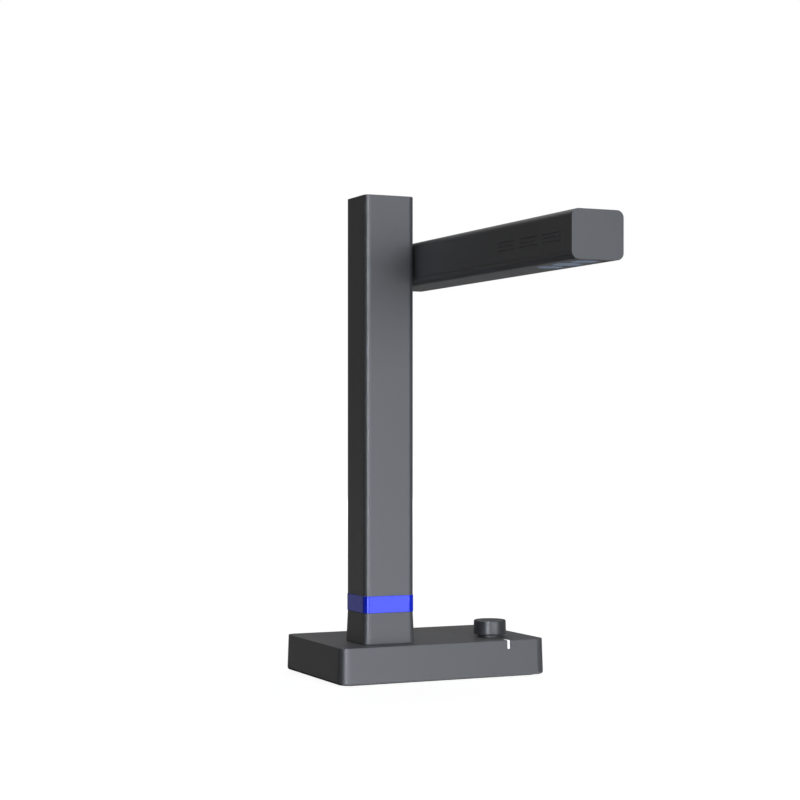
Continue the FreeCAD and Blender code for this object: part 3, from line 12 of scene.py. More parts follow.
import bmesh
import bpy
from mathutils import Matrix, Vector


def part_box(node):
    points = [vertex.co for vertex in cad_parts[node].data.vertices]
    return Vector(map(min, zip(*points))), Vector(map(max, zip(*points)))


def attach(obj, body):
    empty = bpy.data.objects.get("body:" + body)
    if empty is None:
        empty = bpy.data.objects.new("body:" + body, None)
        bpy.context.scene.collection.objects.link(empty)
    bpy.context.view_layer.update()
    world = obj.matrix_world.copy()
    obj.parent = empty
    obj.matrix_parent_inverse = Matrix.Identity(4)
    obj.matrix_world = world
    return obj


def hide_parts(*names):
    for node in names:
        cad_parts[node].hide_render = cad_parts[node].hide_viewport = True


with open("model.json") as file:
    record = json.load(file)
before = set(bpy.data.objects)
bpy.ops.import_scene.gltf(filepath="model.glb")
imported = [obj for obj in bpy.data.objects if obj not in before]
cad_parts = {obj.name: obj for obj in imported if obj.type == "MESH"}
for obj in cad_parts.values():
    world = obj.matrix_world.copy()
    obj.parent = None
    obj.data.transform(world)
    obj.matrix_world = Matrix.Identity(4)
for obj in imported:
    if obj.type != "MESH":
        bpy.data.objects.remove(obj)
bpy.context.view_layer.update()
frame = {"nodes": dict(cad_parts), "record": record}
nodes_by_name = frame["nodes"]
scene = bpy.context.scene
scene.view_settings.view_transform = "Standard"
MM = 0.001

print("pieces in the frame:", len(nodes_by_name))

# %% [markdown]
# ## The camera
# The photograph was taken from the scanner's front left with a level camera: all upright
# edges are parallel in it. A level camera that still shows more of the foot than of the
# top has its lens shifted, so the shift is set and the camera isn't tilted. Working back
# from the edges of the base and the post gave the place, the turn and the lens below.

# %% Put the camera where the photograph was taken
CAMERA_PLACE = (-0.6797, -1.4505, 0.2085)
CAMERA_TURN = 24.67
LENS_LENGTH = 83.34
LENS_SHIFT = 0.0391

camera_data = bpy.data.cameras.new("photo_camera")
camera_data.lens = LENS_LENGTH
camera_data.sensor_width = 36.0
camera_data.shift_y = LENS_SHIFT
camera_data.clip_start = 0.01
camera_data.clip_end = 50.0
camera = bpy.data.objects.new("photo_camera", camera_data)
camera.location = CAMERA_PLACE
camera.rotation_euler = (math.radians(90), 0.0, math.radians(-CAMERA_TURN))
scene.collection.objects.link(camera)
scene.camera = camera

print("camera at", CAMERA_PLACE, "turned", CAMERA_TURN, "degrees to the right")

# %% [markdown]
# ## Helpers for node trees
# Materials, the world and Geometry Nodes are all built by adding nodes and joining their
# sockets. One short function adds a node, sets its options and fills its inputs, and an
# input may be a plain value or the output of an earlier node. That keeps the recipes
# below readable from top to bottom. A second one stretches a value from one range over
# another. A noise pattern seldom leaves the range from 0.3 to 0.7, so that is where it
# starts from unless it is told otherwise.

# %% Add a node, stretch a value, turn a screen colour into light
PLAIN_WHITE = (1.0, 1.0, 1.0)
NOISE_LOW, NOISE_HIGH = 0.3, 0.7


def add_node(tree, kind, inputs=None, **options):
    node = tree.nodes.new(kind)
    for option, value in options.items():
        setattr(node, option, value)
    for socket, value in (inputs or {}).items():
        if isinstance(value, bpy.types.NodeSocket):
            tree.links.new(value, node.inputs[socket])
        else:
            node.inputs[socket].default_value = value
    return node


def between(tree, value, low, high, from_low=NOISE_LOW, from_high=NOISE_HIGH):
    """Stretch a value over the range from low to high."""
    return add_node(tree, "ShaderNodeMapRange", {"Value": value, "From Min": from_low,
                                                 "From Max": from_high, "To Min": low,
                                                 "To Max": high}).outputs["Result"]


def colour(red, green, blue):
    """A colour given as it looks on screen, 0 to 255, in the linear values that Blender mixes."""
    values = []
    for part in (red, green, blue):
        share = part / 255
        values.append(share / 12.92 if share <= 0.04045 else ((share + 0.055) / 1.055) ** 2.4)
    return (*values, 1.0)


print("screen grey 110 is", round(colour(110, 110, 110)[0], 3), "in linear light")

# %% [markdown]
# ## Floor, background and lamps
# The photograph is a studio shot on pure white. The white comes from the colour that the
# camera sees, not from more light on the scanner: Light Path tells a camera ray from a
# ray that lights something. Mirror and glass rays get the same white, so that glass and
# metal show the background that the camera shows. The floor is a real surface as well,
# so the base still throws a soft shadow on it: near the scanner a part of its white is
# real light, and further out its seen white rises until it meets the background.

# %% World and floor
WORLD_LIGHT = 0.055
FLOOR_SEEN = 0.92
FLOOR_FADE = (0.6, 2.0)
FLOOR_COLOUR = (0.35, 0.35, 0.35, 1.0)
FLOOR_HALF = 12.0


def seen_directly(tree):
    """1 for a ray from the camera, a mirror or glass, 0 for a ray that only carries light."""
    path = add_node(tree, "ShaderNodeLightPath")
    seen = path.outputs["Is Camera Ray"]
    for other in ("Is Glossy Ray", "Is Transmission Ray"):
        seen = add_node(tree, "ShaderNodeMath", {0: seen, 1: path.outputs[other]},
                        operation="MAXIMUM").outputs[0]
    return seen


world = bpy.data.worlds.new("white_studio")
scene.world = world
world.use_nodes = True
sky = world.node_tree
sky_strength = between(sky, seen_directly(sky), WORLD_LIGHT, 1.0, 0.0, 1.0)
sky.nodes["Background"].inputs["Color"].default_value = (*PLAIN_WHITE, 1.0)
sky.links.new(sky_strength, sky.nodes["Background"].inputs["Strength"])

floor_mesh = bpy.data.meshes.new("floor")
floor_mesh.from_pydata([(-FLOOR_HALF, -FLOOR_HALF, 0), (FLOOR_HALF, -FLOOR_HALF, 0),
                        (FLOOR_HALF, FLOOR_HALF, 0), (-FLOOR_HALF, FLOOR_HALF, 0)],
                       [], [(0, 1, 2, 3)])
floor = bpy.data.objects.new("floor", floor_mesh)
scene.collection.objects.link(floor)
floor_paper = bpy.data.materials.new("floor_paper")
floor_paper.use_nodes = True
paper = floor_paper.node_tree
paper.nodes.remove(paper.nodes["Principled BSDF"])
paper_matt = add_node(paper, "ShaderNodeBsdfDiffuse", {"Color": FLOOR_COLOUR})
paper_place = add_node(paper, "ShaderNodeTexCoord").outputs["Object"]
paper_reach = add_node(paper, "ShaderNodeVectorMath", {0: paper_place}, operation="LENGTH")
paper_white = between(paper, paper_reach.outputs["Value"], FLOOR_SEEN, 1.0, *FLOOR_FADE)
paper_glow = between(paper, seen_directly(paper), 0.0, paper_white, 0.0, 1.0)
paper_light = add_node(paper, "ShaderNodeEmission", {"Color": (*PLAIN_WHITE, 1.0),
                                                     "Strength": paper_glow})
paper_sum = add_node(paper, "ShaderNodeAddShader", {0: paper_matt.outputs[0],
                                                    1: paper_light.outputs[0]})
paper.links.new(paper_sum.outputs[0], paper.nodes["Material Output"].inputs["Surface"])
floor_mesh.materials.append(floor_paper)

print("floor", 2 * FLOOR_HALF, "m wide")

# %% [markdown]
# Satin plastic shows the shape of what it mirrors, so a photographer stands cards round the
# product: black ones, called flags, where a side has to look dark, and white ones where a
# bright line or a soft sheen is wanted. Here they are the strips of a round wall that goes
# on below the floor to a ground of its own. Only mirror rays meet it, and they pass the
# floor: the wall lights nothing, shades nothing and no camera sees it. Above it the white
# studio stays in view. The bright strips in front give the front faces their sheen, and
# below the floor they serve the edges that are rounded downwards. The grey strips behind,
# down to a metre below the floor, are for the arm's underside. Deeper the wall behind is
# dark, and that darkens the arm's rounded lower edge. A narrow card of its own, near the
# scanner on the left, draws the bright line down each rounded corner and on the knob.

# %% Choose the flags and cards
CARD_RADIUS = 5.0
CARD_HEIGHT = 3.4
CARD_SIDES = 48
FLAG_BRIGHTNESS = 0.02
COLD_WHITE = (0.94, 0.99, 1.07)
# The heights where the wall changes: its top, the floor, a metre below that, and the ground.
CARD_STEPS = (CARD_HEIGHT, 0.0, -1.0, -CARD_HEIGHT)
# From and to, in degrees round from the front towards the left, then the brightness above
# the floor, down to a metre below it, deeper than that, and on the ground. The rest is flags.
CARDS = [(-180, -142.5, 0.12, 0.3, 0.02, 0.02), (-142.5, -97.5, 0.02, 0.3, 0.02, 1.0),
         (-97.5, -30, 0.02, 0.02, 1.0, 2.4), (-30, 7.5, 3.0, 4.4, 5.0, 2.4),
         (7.5, 22.5, 2.4, 3.0, 3.0, 2.4), (97.5, 150, 0.2, 0.2, 0.02, 0.02),
         (150, 157.5, 0.2, 0.5, 0.02, 0.02), (157.5, 180, 0.14, 0.22, 0.02, 0.02)]


def card_cloth(brightness):
    """The glow of a card, made once for each brightness. Bright cards are a little cold."""
    name = f"card_{brightness:g}"
    if name in bpy.data.materials:
        return bpy.data.materials[name]
    cloth = bpy.data.materials.new(name)
    cloth.use_nodes = True
    tree = cloth.node_tree
    tree.nodes.remove(tree.nodes["Principled BSDF"])
    tint = COLD_WHITE if brightness > 1.0 else PLAIN_WHITE
    glow = add_node(tree, "ShaderNodeEmission", {"Color": (*tint, 1.0), "Strength": brightness})
    tree.links.new(glow.outputs[0], tree.nodes["Material Output"].inputs["Surface"])
    return cloth


def card_brightness(side):
    """Brightness of one strip, from the top of the wall to the ground."""
    turn = (270 - 360 * (side + 0.5) / CARD_SIDES + 180) % 360 - 180
    for first, last, *levels in CARDS:
        if first <= turn < last:
            return levels
    return [FLAG_BRIGHTNESS] * len(CARD_STEPS)


print("strips that aren't flags:",
      sum(max(card_brightness(side)) > FLAG_BRIGHTNESS for side in range(CARD_SIDES)))

# %% Stand the flags and cards that only mirror rays meet
NEAR_CARD_TURN = 37.0
NEAR_CARD_AWAY = 0.9
NEAR_CARD_WIDTH = 0.26
NEAR_CARD_BRIGHTNESS = 11.0


def near_card_corners():
    """The lower and the upper corner of the narrow card on its right, then on its left."""
    turn = math.radians(NEAR_CARD_TURN)
    placed = []
    for side in (-1, 1):
        across = side * NEAR_CARD_WIDTH / 2
        x = -NEAR_CARD_AWAY * math.sin(turn) - across * math.cos(turn)
        y = -NEAR_CARD_AWAY * math.cos(turn) + across * math.sin(turn)
        placed += [(x, y, -CARD_HEIGHT), (x, y, CARD_HEIGHT)]
    return placed


rim = [(CARD_RADIUS * math.cos(2 * math.pi * i / CARD_SIDES),
        CARD_RADIUS * math.sin(2 * math.pi * i / CARD_SIDES)) for i in range(CARD_SIDES)]
corners = [(x, y, z) for z in CARD_STEPS for x, y in rim]
after = [(i + 1) % CARD_SIDES for i in range(CARD_SIDES)]
foot = len(corners) - CARD_SIDES
strips = [(row + i, row + after[i], row + CARD_SIDES + after[i], row + CARD_SIDES + i)
          for row in range(0, foot, CARD_SIDES) for i in range(CARD_SIDES)]
strips += [(foot + i, foot + after[i], len(corners)) for i in range(CARD_SIDES)]
corners.append((0.0, 0.0, -CARD_HEIGHT))
near = len(corners)
corners += near_card_corners()
card_mesh = bpy.data.meshes.new("flags_and_cards")
card_mesh.from_pydata(corners, [], strips + [(near, near + 1, near + 3, near + 2)])
brightness = [card_brightness(i)[part] for part in range(len(CARD_STEPS))
              for i in range(CARD_SIDES)]
brightness.append(NEAR_CARD_BRIGHTNESS)
cloth_levels = sorted(set(brightness))
for level in cloth_levels:
    card_mesh.materials.append(card_cloth(level))
for face, level in zip(card_mesh.polygons, brightness):
    face.material_index = cloth_levels.index(level)
cards = bpy.data.objects.new("flags_and_cards", card_mesh)
scene.collection.objects.link(cards)
cards.visible_camera = False
cards.visible_diffuse = False
cards.visible_transmission = False
cards.visible_volume_scatter = False
cards.visible_shadow = False
floor.visible_glossy = False

print("wall", 2 * CARD_RADIUS, "m across and", CARD_HEIGHT, "m high,", len(cloth_levels), "levels")

# %% [markdown]
# Soft lamps light the scanner. In the photograph every face that looks to the front is
# about five times as bright as one that looks to the left, and slightly blue, and level
# faces are in between. So the main lamp stands low in front, to the right of the camera,
# and is a little cold. A weak one from above and behind lifts the top of the base, and a
# rear lamp, which lights no upright face that the photograph shows, keeps the back from
# going black. The front and rear lamps aren't mirrored, because the cards do that.

# %% Lamps
SCANNER_MIDDLE = (0.0, -0.06, 0.2)


def soft_lamp(name, place, width, height, power, tint=PLAIN_WHITE, mirrored=True):
    """A lamp with a wide face that looks at the middle of the scanner."""
    data = bpy.data.lights.new(name, "AREA")
    data.shape = "RECTANGLE"
    data.size = width
    data.size_y = height
    data.energy = power
    data.color = tint
    lamp = bpy.data.objects.new(name, data)
    lamp.location = place
    aim = Vector(SCANNER_MIDDLE) - Vector(place)
    lamp.rotation_euler = aim.to_track_quat("-Z", "Y").to_euler()
    lamp.visible_glossy = mirrored
    scene.collection.objects.link(lamp)


soft_lamp("front_lamp", (0.6, -3.93, 0.62), width=1.2, height=1.6, power=94.0,
          tint=COLD_WHITE, mirrored=False)
soft_lamp("top_lamp", (0.0, 1.4, 2.4), width=1.4, height=1.0, power=7.5)
soft_lamp("rear_lamp", (2.7, 3.0, 0.6), width=2.0, height=1.2, power=90.0, mirrored=False)

# %% [markdown]
# ## Parts that every finish is made of
# A finish is a shader whose colour, bump and roughness follow patterns. The patterns read
# object coordinates, which are metres here, so their scale is in cells per metre and a
# grain keeps its size on every piece. The colour goes between two shades of one colour,
# and the same pattern can drive bump and roughness, as a raised grain also scatters light.


# %% Helpers for finishes
def new_finish(name, **plain_inputs):
    """A material and its shader, with what is the same all over set on the shader itself."""
    finish = bpy.data.materials.new(name)
    finish.use_nodes = True
    shader = finish.node_tree.nodes["Principled BSDF"]
    for socket, value in plain_inputs.items():
        shader.inputs[socket.replace("_", " ")].default_value = value
    return finish, finish.node_tree, shader


def object_place(tree, stretch=None):
    """Object coordinates, stretched where a finish has a direction."""
    where = add_node(tree, "ShaderNodeTexCoord").outputs["Object"]
    if stretch is None:
        return where
    return add_node(tree, "ShaderNodeMapping", {"Vector": where, "Scale": stretch}).outputs[0]


def noise(tree, cells, detail=2.0, stretch=None):
    """A noise pattern with so many cells in a metre."""
    return add_node(tree, "ShaderNodeTexNoise", {"Vector": object_place(tree, stretch),
                                                 "Scale": cells, "Detail": detail}).outputs["Fac"]


def mixed(tree, factor, first, second):
    """Two colours mixed, each a plain colour or the output of a node."""
    node = add_node(tree, "ShaderNodeMix", {"Factor": factor}, data_type="RGBA")
    for socket, value in zip((node.inputs[6], node.inputs[7]), (first, second)):
        if isinstance(value, bpy.types.NodeSocket):
            tree.links.new(value, socket)
        else:
            socket.default_value = value
    return node.outputs[2]


def shade(rgb, share):
    """The same colour, lighter or darker by a share."""
    return (*(min(part * share, 1.0) for part in rgb[:3]), 1.0)


def paint(tree, shader, factor, first, second):
    """Mix two colours into the colour of the finish."""
    tree.links.new(mixed(tree, factor, first, second), shader.inputs["Base Color"])


def roughen(tree, shader, pattern, height, rough):
    """Bump of a height in metres and a range of roughness, from one pattern."""
    bump = add_node(tree, "ShaderNodeBump", {"Height": pattern, "Distance": height,
                                             "Strength": 1.0})
    tree.links.new(bump.outputs["Normal"], shader.inputs["Normal"])
    tree.links.new(between(tree, pattern, *rough), shader.inputs["Roughness"])


print("helpers: new_finish, object_place, noise, mixed, shade, paint, roughen")

# %% [markdown]
# ## Moulded satin plastic
# The base, the foot of the post, the arm and the knob are moulded in a dark grey plastic.
# Its mould was eroded by sparks, which leaves a grain of a few tenths of a millimetre and
# takes away the mirror gloss. Two noise patterns make that: a fine one for bump and
# roughness, and one of several centimetres for the slight cloudiness of tinted plastic.

# %% Satin plastic
GRAIN_CELLS = 2600.0
CLOUD_CELLS = 22.0
GREY = (92, 92, 94)
KNOB_GREY = (80, 80, 82)


def satin_plastic(name, rgb, grain_height, rough):
    finish, tree, shader = new_finish(name, Specular_IOR_Level=0.5)
    cloud = between(tree, noise(tree, CLOUD_CELLS, 3.0), 0.0, 1.0)
    clouded = mixed(tree, cloud, shade(rgb, 0.97), shade(rgb, 1.03))
    grain = noise(tree, GRAIN_CELLS)
    paint(tree, shader, between(tree, grain, 0.0, 1.0), shade(rgb, 0.95), clouded)
    roughen(tree, shader, grain, grain_height, rough)
    return finish


housing_finish = satin_plastic("satin_grey_plastic", colour(*GREY), grain_height=0.01 * MM,
                               rough=(0.36, 0.42))
knob_finish = satin_plastic("satin_knob_plastic", colour(*KNOB_GREY), grain_height=0.005 * MM,
                            rough=(0.29, 0.35))
print("finishes:", housing_finish.name, knob_finish.name)

# %% [markdown]
# ## Painted post
# The post's shell is an aluminium tube with a satin powder coat. A powder coat melts and
# sets with the long, shallow waves that painters call orange peel, about a millimetre
# across, over a much finer speckle of pigment. The waves only bend and soften
# reflections, and the pigment only colours.

# %% Powder coat
PEEL_CELLS = 700.0
PEEL_HEIGHT = 0.008 * MM
PIGMENT_CELLS = 4200.0


def powder_coat(name, rgb):
    finish, tree, shader = new_finish(name, Specular_IOR_Level=0.5)
    pigment = between(tree, noise(tree, PIGMENT_CELLS), 0.0, 1.0)
    paint(tree, shader, pigment, shade(rgb, 0.95), shade(rgb, 1.04))
    roughen(tree, shader, noise(tree, PEEL_CELLS, 1.0), PEEL_HEIGHT, (0.32, 0.38))
    return finish


post_finish = powder_coat("satin_grey_coat", colour(*GREY))
print("finish:", post_finish.name)

# %% [markdown]
# ## Blue band and white index line
# The band round the foot of the post is a blue light guide with a clear coat and a touch
# of metal pigment: its colour is deep and even, and only its corners mirror brightly. The
# index line in front of the knob is a milky white light guide that is lit from inside, as
# it is pure white in the photograph while all round it is grey, so it glows and scatters
# a little light under its surface.

# %% Light guides
BLUE = (38, 64, 255)
DEEP_BLUE = (34, 58, 255)
MILK = (250, 250, 250)
DEPTH_CELLS = 60.0
SWIRL_CELLS = 260.0
SWIRL_HEIGHT = 0.003 * MM
SCATTER_DEPTH = 1.0 * MM


def light_guide(name, shallow, deep, roughness, gloss, coat, scatter=0.0, metallic=0.0, glow=0.0):
    finish, tree, shader = new_finish(name, Specular_IOR_Level=gloss, Coat_Weight=coat,
                                      Metallic=metallic, Emission_Strength=glow,
                                      Coat_Roughness=0.05, Subsurface_Weight=scatter,
                                      Subsurface_Scale=SCATTER_DEPTH)
    depth = between(tree, noise(tree, DEPTH_CELLS, 2.0), 0.0, 1.0)
    paint(tree, shader, depth, deep, shallow)
    swirl = noise(tree, SWIRL_CELLS, 1.0)
    roughen(tree, shader, swirl, SWIRL_HEIGHT, (roughness, roughness + 0.06))
    return finish


band_finish = light_guide("blue_band", colour(*BLUE), colour(*DEEP_BLUE), roughness=0.1,
                          gloss=0.0, coat=0.6, metallic=0.1)
index_finish = light_guide("white_index", colour(*MILK), shade(colour(*MILK), 0.96),
                           roughness=0.3, gloss=0.4, coat=0.1, scatter=0.1, glow=0.8)
print("finishes:", band_finish.name, index_finish.name)

# %% [markdown]
# ## Windows and lens
# Under the arm the photograph shows three windows alike, an even blue grey that mirrors
# little, as a matt, milky plastic does. The lamps' windows spread light, and the camera's
# is a little clearer and smoother. All three have a faint blue glow, which is painted light:
# an emission that makes the discs brighter, though no lamp lights them. The lens behind the
# camera's window has a thin coating, whose violet shimmer comes from the shader's thin film.

# %% Windows and lens
WINDOW_GREY = (170, 194, 220)
# The windows' emission colour and strength below are painted light: a faint glow that brightens
# the discs, with no lamp behind it.
WINDOW_PAINTED_GLOW = (0.2, 0.4, 0.75, 1.0)
MILKY_WITH_PAINTED_GLOW = {"Specular_IOR_Level": 0.2, "Emission_Color": WINDOW_PAINTED_GLOW, "Emission_Strength": 0.08}
LENS_TINT = (205, 210, 225)
COATING_NANOMETRES = 430.0
HAZE_CELLS = 900.0
TINT_CELLS = 80.0


def window_glass(name, rgb, through, rough, **more):
    finish, tree, shader = new_finish(name, Transmission_Weight=through, IOR=1.5, **more)
    haze = noise(tree, HAZE_CELLS, 1.0)
    tint = between(tree, noise(tree, TINT_CELLS), 0.0, 1.0)
    paint(tree, shader, tint, shade(rgb, 0.97), shade(rgb, 1.02))
    tree.links.new(between(tree, haze, *rough), shader.inputs["Roughness"])
    return finish


# Both windows carry the painted glow of the emission settings above.
lamp_window_finish = window_glass("frosted_window", colour(*WINDOW_GREY), through=0.05,
                                  rough=(0.26, 0.32), **MILKY_WITH_PAINTED_GLOW)
camera_window_finish = window_glass("camera_window", colour(*WINDOW_GREY), through=0.1,
                                    rough=(0.22, 0.28), **MILKY_WITH_PAINTED_GLOW)
lens_finish = window_glass("coated_lens", colour(*LENS_TINT), through=0.95, rough=(0.0, 0.02),
                           Thin_Film_Thickness=COATING_NANOMETRES)
print("finishes:", lamp_window_finish.name, camera_window_finish.name, lens_finish.name)

# %% [markdown]
# ## Metals
# Zinc-plated screws, a drawn aluminium tube, a sintered bronze bush and a cast weight
# differ in colour, in roughness and in the direction of their marks. Marks with a
# direction are noise that is stretched along it: fine across, long along.

# %% Metal finishes
PATCH_CELLS = 45.0
DRAWN_UPRIGHT = (1.0, 1.0, 0.02)


def metal(name, rgb, cells, height, rough, stretch=None, metallic=1.0):
    finish, tree, shader = new_finish(name, Metallic=metallic)
    marks = noise(tree, cells, 3.0, stretch)
    patch = between(tree, noise(tree, PATCH_CELLS), 0.0, 1.0)
    paint(tree, shader, patch, shade(rgb, 0.9), shade(rgb, 1.05))
    roughen(tree, shader, marks, height, rough)
    return finish


# Each has its colour, the cells of its marks in a metre, their height and its roughness.
steel_finish = metal("zinc_steel", colour(190, 192, 190), 1500.0, 0.004 * MM, (0.26, 0.4))
black_steel_finish = metal("black_steel", colour(58, 58, 60), 1800.0, 0.004 * MM, (0.38, 0.5))
tube_finish = metal("drawn_aluminium", colour(200, 202, 205), 1400.0, 0.006 * MM, (0.3, 0.42),
                    stretch=DRAWN_UPRIGHT)
bronze_finish = metal("sintered_bronze", colour(196, 158, 96), 3800.0, 0.01 * MM, (0.35, 0.5))
iron_finish = metal("cast_iron", colour(92, 92, 94), 900.0, 0.06 * MM, (0.6, 0.8), metallic=0.6)
print("metals:", steel_finish.name, black_steel_finish.name, tube_finish.name,
      bronze_finish.name, iron_finish.name)

# %% [markdown]
# ## Rubber, black plastics and plain inner pieces
# They are matt and have no metal in them. One recipe makes them all, with its own colour,
# grain and roughness for each. Their tone changes over forty cells of the grain.

# %% Matt finishes
GRAINS_TO_A_TONE = 40


def matt(name, rgb, cells, height, rough, gloss=0.3):
    finish, tree, shader = new_finish(name, Specular_IOR_Level=gloss)
    grain = noise(tree, cells, 2.0)
    tone = between(tree, noise(tree, cells / GRAINS_TO_A_TONE), 0.0, 1.0)
    paint(tree, shader, tone, shade(rgb, 0.9), shade(rgb, 1.08))
    roughen(tree, shader, grain, height, rough)
    return finish


# Each has its colour, the cells of its grain in a metre, their height and its roughness.
plate_finish = matt("black_moulded_plate", colour(46, 46, 48), 1600.0, 0.02 * MM, (0.6, 0.72))
rubber_finish = matt("foot_rubber", colour(38, 38, 38), 2400.0, 0.02 * MM, (0.82, 0.92))
jacket_finish = matt("cable_jacket", colour(32, 32, 34), 1800.0, 0.01 * MM, (0.6, 0.7))
lens_black_finish = matt("lens_black", colour(22, 22, 24), 2600.0, 0.008 * MM, (0.5, 0.62))
slip_finish = matt("slip_plastic", colour(226, 224, 214), 1500.0, 0.01 * MM, (0.5, 0.6))
reflector_finish = matt("white_reflector", colour(238, 238, 236), 1200.0, 0.004 * MM, (0.2, 0.3),
                        gloss=0.5)
print("matt finishes:", plate_finish.name, rubber_finish.name, jacket_finish.name,
      lens_black_finish.name, slip_finish.name, reflector_finish.name)

# %% [markdown]
# ## Circuit boards
# A board is one solid with its chips, so its finish tells them apart by height: what lies
# within the board's own thickness is green with paler copper tracks and round pads, and
# what stands off it is black epoxy. The tracks are the joints of a brick pattern, which
# run straight and step aside as tracks do. A lamp board is white, and its chips have the
# yellow of an unlit white lamp. What stands on the encoder board is white, because the
# lamp behind the index line is there.

# %% Board finish
BOARD_THICKNESS = 1.6 * MM
BOARD_SLACK = 0.05 * MM
TRACK_CELLS = 90.0
TRACK_WIDTH = 0.03
TRACK_HEIGHT = 0.03 * MM
PAD_CELLS = 210.0
PAD_RADIUS = 0.12
MASK_GREEN = colour(18, 84, 48)
TRACK_GREEN = colour(40, 120, 72)
PAD_TIN = colour(190, 190, 182)
EPOXY_BLACK = colour(24, 24, 26)
LAMP_WHITE = colour(228, 228, 224)
LAMP_YELLOW = colour(232, 200, 60)


def board_finish(name, low, mask_rgb, track_rgb, chip_rgb):
    """One board's finish, from the height of its lower face and its three colours."""
    finish, tree, shader = new_finish(name, Specular_IOR_Level=0.5)
    place = object_place(tree)
    height = add_node(tree, "ShaderNodeSeparateXYZ", {0: place}).outputs["Z"]
    in_board = add_node(tree, "ShaderNodeMath", {0: height, 1: low + BOARD_THICKNESS / 2,
                                                 2: BOARD_THICKNESS / 2 + BOARD_SLACK},
                        operation="COMPARE").outputs[0]
    bricks = add_node(tree, "ShaderNodeTexBrick", {"Vector": place, "Color1": mask_rgb,
                                                   "Color2": shade(mask_rgb, 0.94),
                                                   "Mortar": track_rgb, "Scale": TRACK_CELLS,
                                                   "Mortar Size": TRACK_WIDTH,
                                                   "Mortar Smooth": 0.1})
    cells = add_node(tree, "ShaderNodeTexVoronoi", {"Vector": place, "Scale": PAD_CELLS})
    pads = add_node(tree, "ShaderNodeMath", {0: cells.outputs["Distance"], 1: PAD_RADIUS},
                    operation="LESS_THAN").outputs[0]
    printed = mixed(tree, pads, bricks.outputs["Color"], PAD_TIN)
    paint(tree, shader, in_board, chip_rgb, printed)
    roughen(tree, shader, bricks.outputs["Fac"], TRACK_HEIGHT, (0.3, 0.36))
    return finish


def base_of(name):
    """Lower face of a board whose chips stand on it."""
    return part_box(name)[0].z


def board_under_top(name):
    """Lower face of a board whose chips hang below it."""
    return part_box(name)[1].z - BOARD_THICKNESS


GREEN_BOARD = (MASK_GREEN, TRACK_GREEN, EPOXY_BLACK)
board_finishes = {
    "main_board": board_finish("main_board", base_of("main_board"), *GREEN_BOARD),
    "encoder_board": board_finish("encoder_board", base_of("encoder_board"), MASK_GREEN,
                                  TRACK_GREEN, LAMP_WHITE),
    "arm_board": board_finish("arm_board", board_under_top("arm_board"), *GREEN_BOARD),
    "camera_board": board_finish("camera_board", base_of("camera_board"), *GREEN_BOARD),
    "front_lamp_board": board_finish("lamp_board", board_under_top("front_lamp_board"),
                                     LAMP_WHITE, shade(LAMP_WHITE, 0.85), LAMP_YELLOW),
}
board_finishes["rear_lamp_board"] = board_finishes["front_lamp_board"]
print("boards:", sorted(board_finishes))

# %% [markdown]
# ## Which piece has which finish
# A piece that keeps the frame's own shape gets its finish in its material slot. The
# frame already names a slot for each kind of material, so one table from slot to finish
# covers nearly everything, and only the boards are named one by one.

# %% Give every piece its finish
finish_for_slot = {
    "housing_plastic": housing_finish, "knob_plastic": knob_finish, "post_paint": post_finish,
    "ring_plastic": band_finish, "index_plastic": index_finish,
    "lamp_window": lamp_window_finish, "camera_glass": camera_window_finish,
    "lens_glass": lens_finish, "plate_plastic": plate_finish, "foot_rubber": rubber_finish,
    "cast_weight": iron_finish, "plain_steel": steel_finish, "black_steel": black_steel_finish,
    "plain_aluminium": tube_finish, "bush_bronze": bronze_finish,
    "lens_black": lens_black_finish, "reflector_white": reflector_finish,
    "slip_plastic": slip_finish, "cable_black": jacket_finish,
}
slot_of = {part["node"]: part["material_slot"] for part in frame["record"]["subparts"]}
finishes_used = set()
for name, node in nodes_by_name.items():
    finish = board_finishes.get(name) or finish_for_slot[slot_of[name]]
    finishes_used.add(finish.name)
    for slot in node.material_slots:
        slot.material = finish

print("dressed", len(nodes_by_name), "pieces with", len(finishes_used), "finishes")

# %% [markdown]
# ## Growing what repeats
# Vent holes and screws are many copies of one shape in a pattern, and Geometry Nodes say
# that directly: a tree holds the shape and the pattern, its inputs hold the sizes, and a
# start mesh says what it works on. One helper makes a tree with named inputs, one closes
# it, and one runs it and keeps the result as a plain mesh, because a model that leaves
# Blender can't hold instances. The result is smooth, apart from edges that are marked as
# sharp by the angle between their faces.

# %% Helpers for Geometry Nodes
SHARP_ANGLE = math.radians(35)


def new_tree(name, inputs):
    """A tree with a geometry input and one named input for each size."""
    tree = bpy.data.node_groups.new(name, "GeometryNodeTree")
    tree.interface.new_socket("Geometry", in_out="INPUT", socket_type="NodeSocketGeometry")
    for label, kind in inputs.items():
        tree.interface.new_socket(label, in_out="INPUT", socket_type="NodeSocket" + kind)
    tree.interface.new_socket("Geometry", in_out="OUTPUT", socket_type="NodeSocketGeometry")
    return tree, tree.nodes.new("NodeGroupInput").outputs


def close_tree(tree, geometry, finish):
    """Turn instances into real mesh, give it its finish and send it out."""
    whole = add_node(tree, "GeometryNodeRealizeInstances", {0: geometry}).outputs[0]
    coated = add_node(tree, "GeometryNodeSetMaterial", {"Geometry": whole, "Material": finish})
    add_node(tree, "NodeGroupOutput", {0: coated.outputs[0]})


def mark_sharp(mesh, angle):
    """Keep a hard edge wherever two faces meet at more than an angle."""
    shape = bmesh.new()
    shape.from_mesh(mesh)
    for edge in shape.edges:
        edge.smooth = len(edge.link_faces) == 2 and edge.calc_face_angle(0.0) < angle
    shape.to_mesh(mesh)
    shape.free()


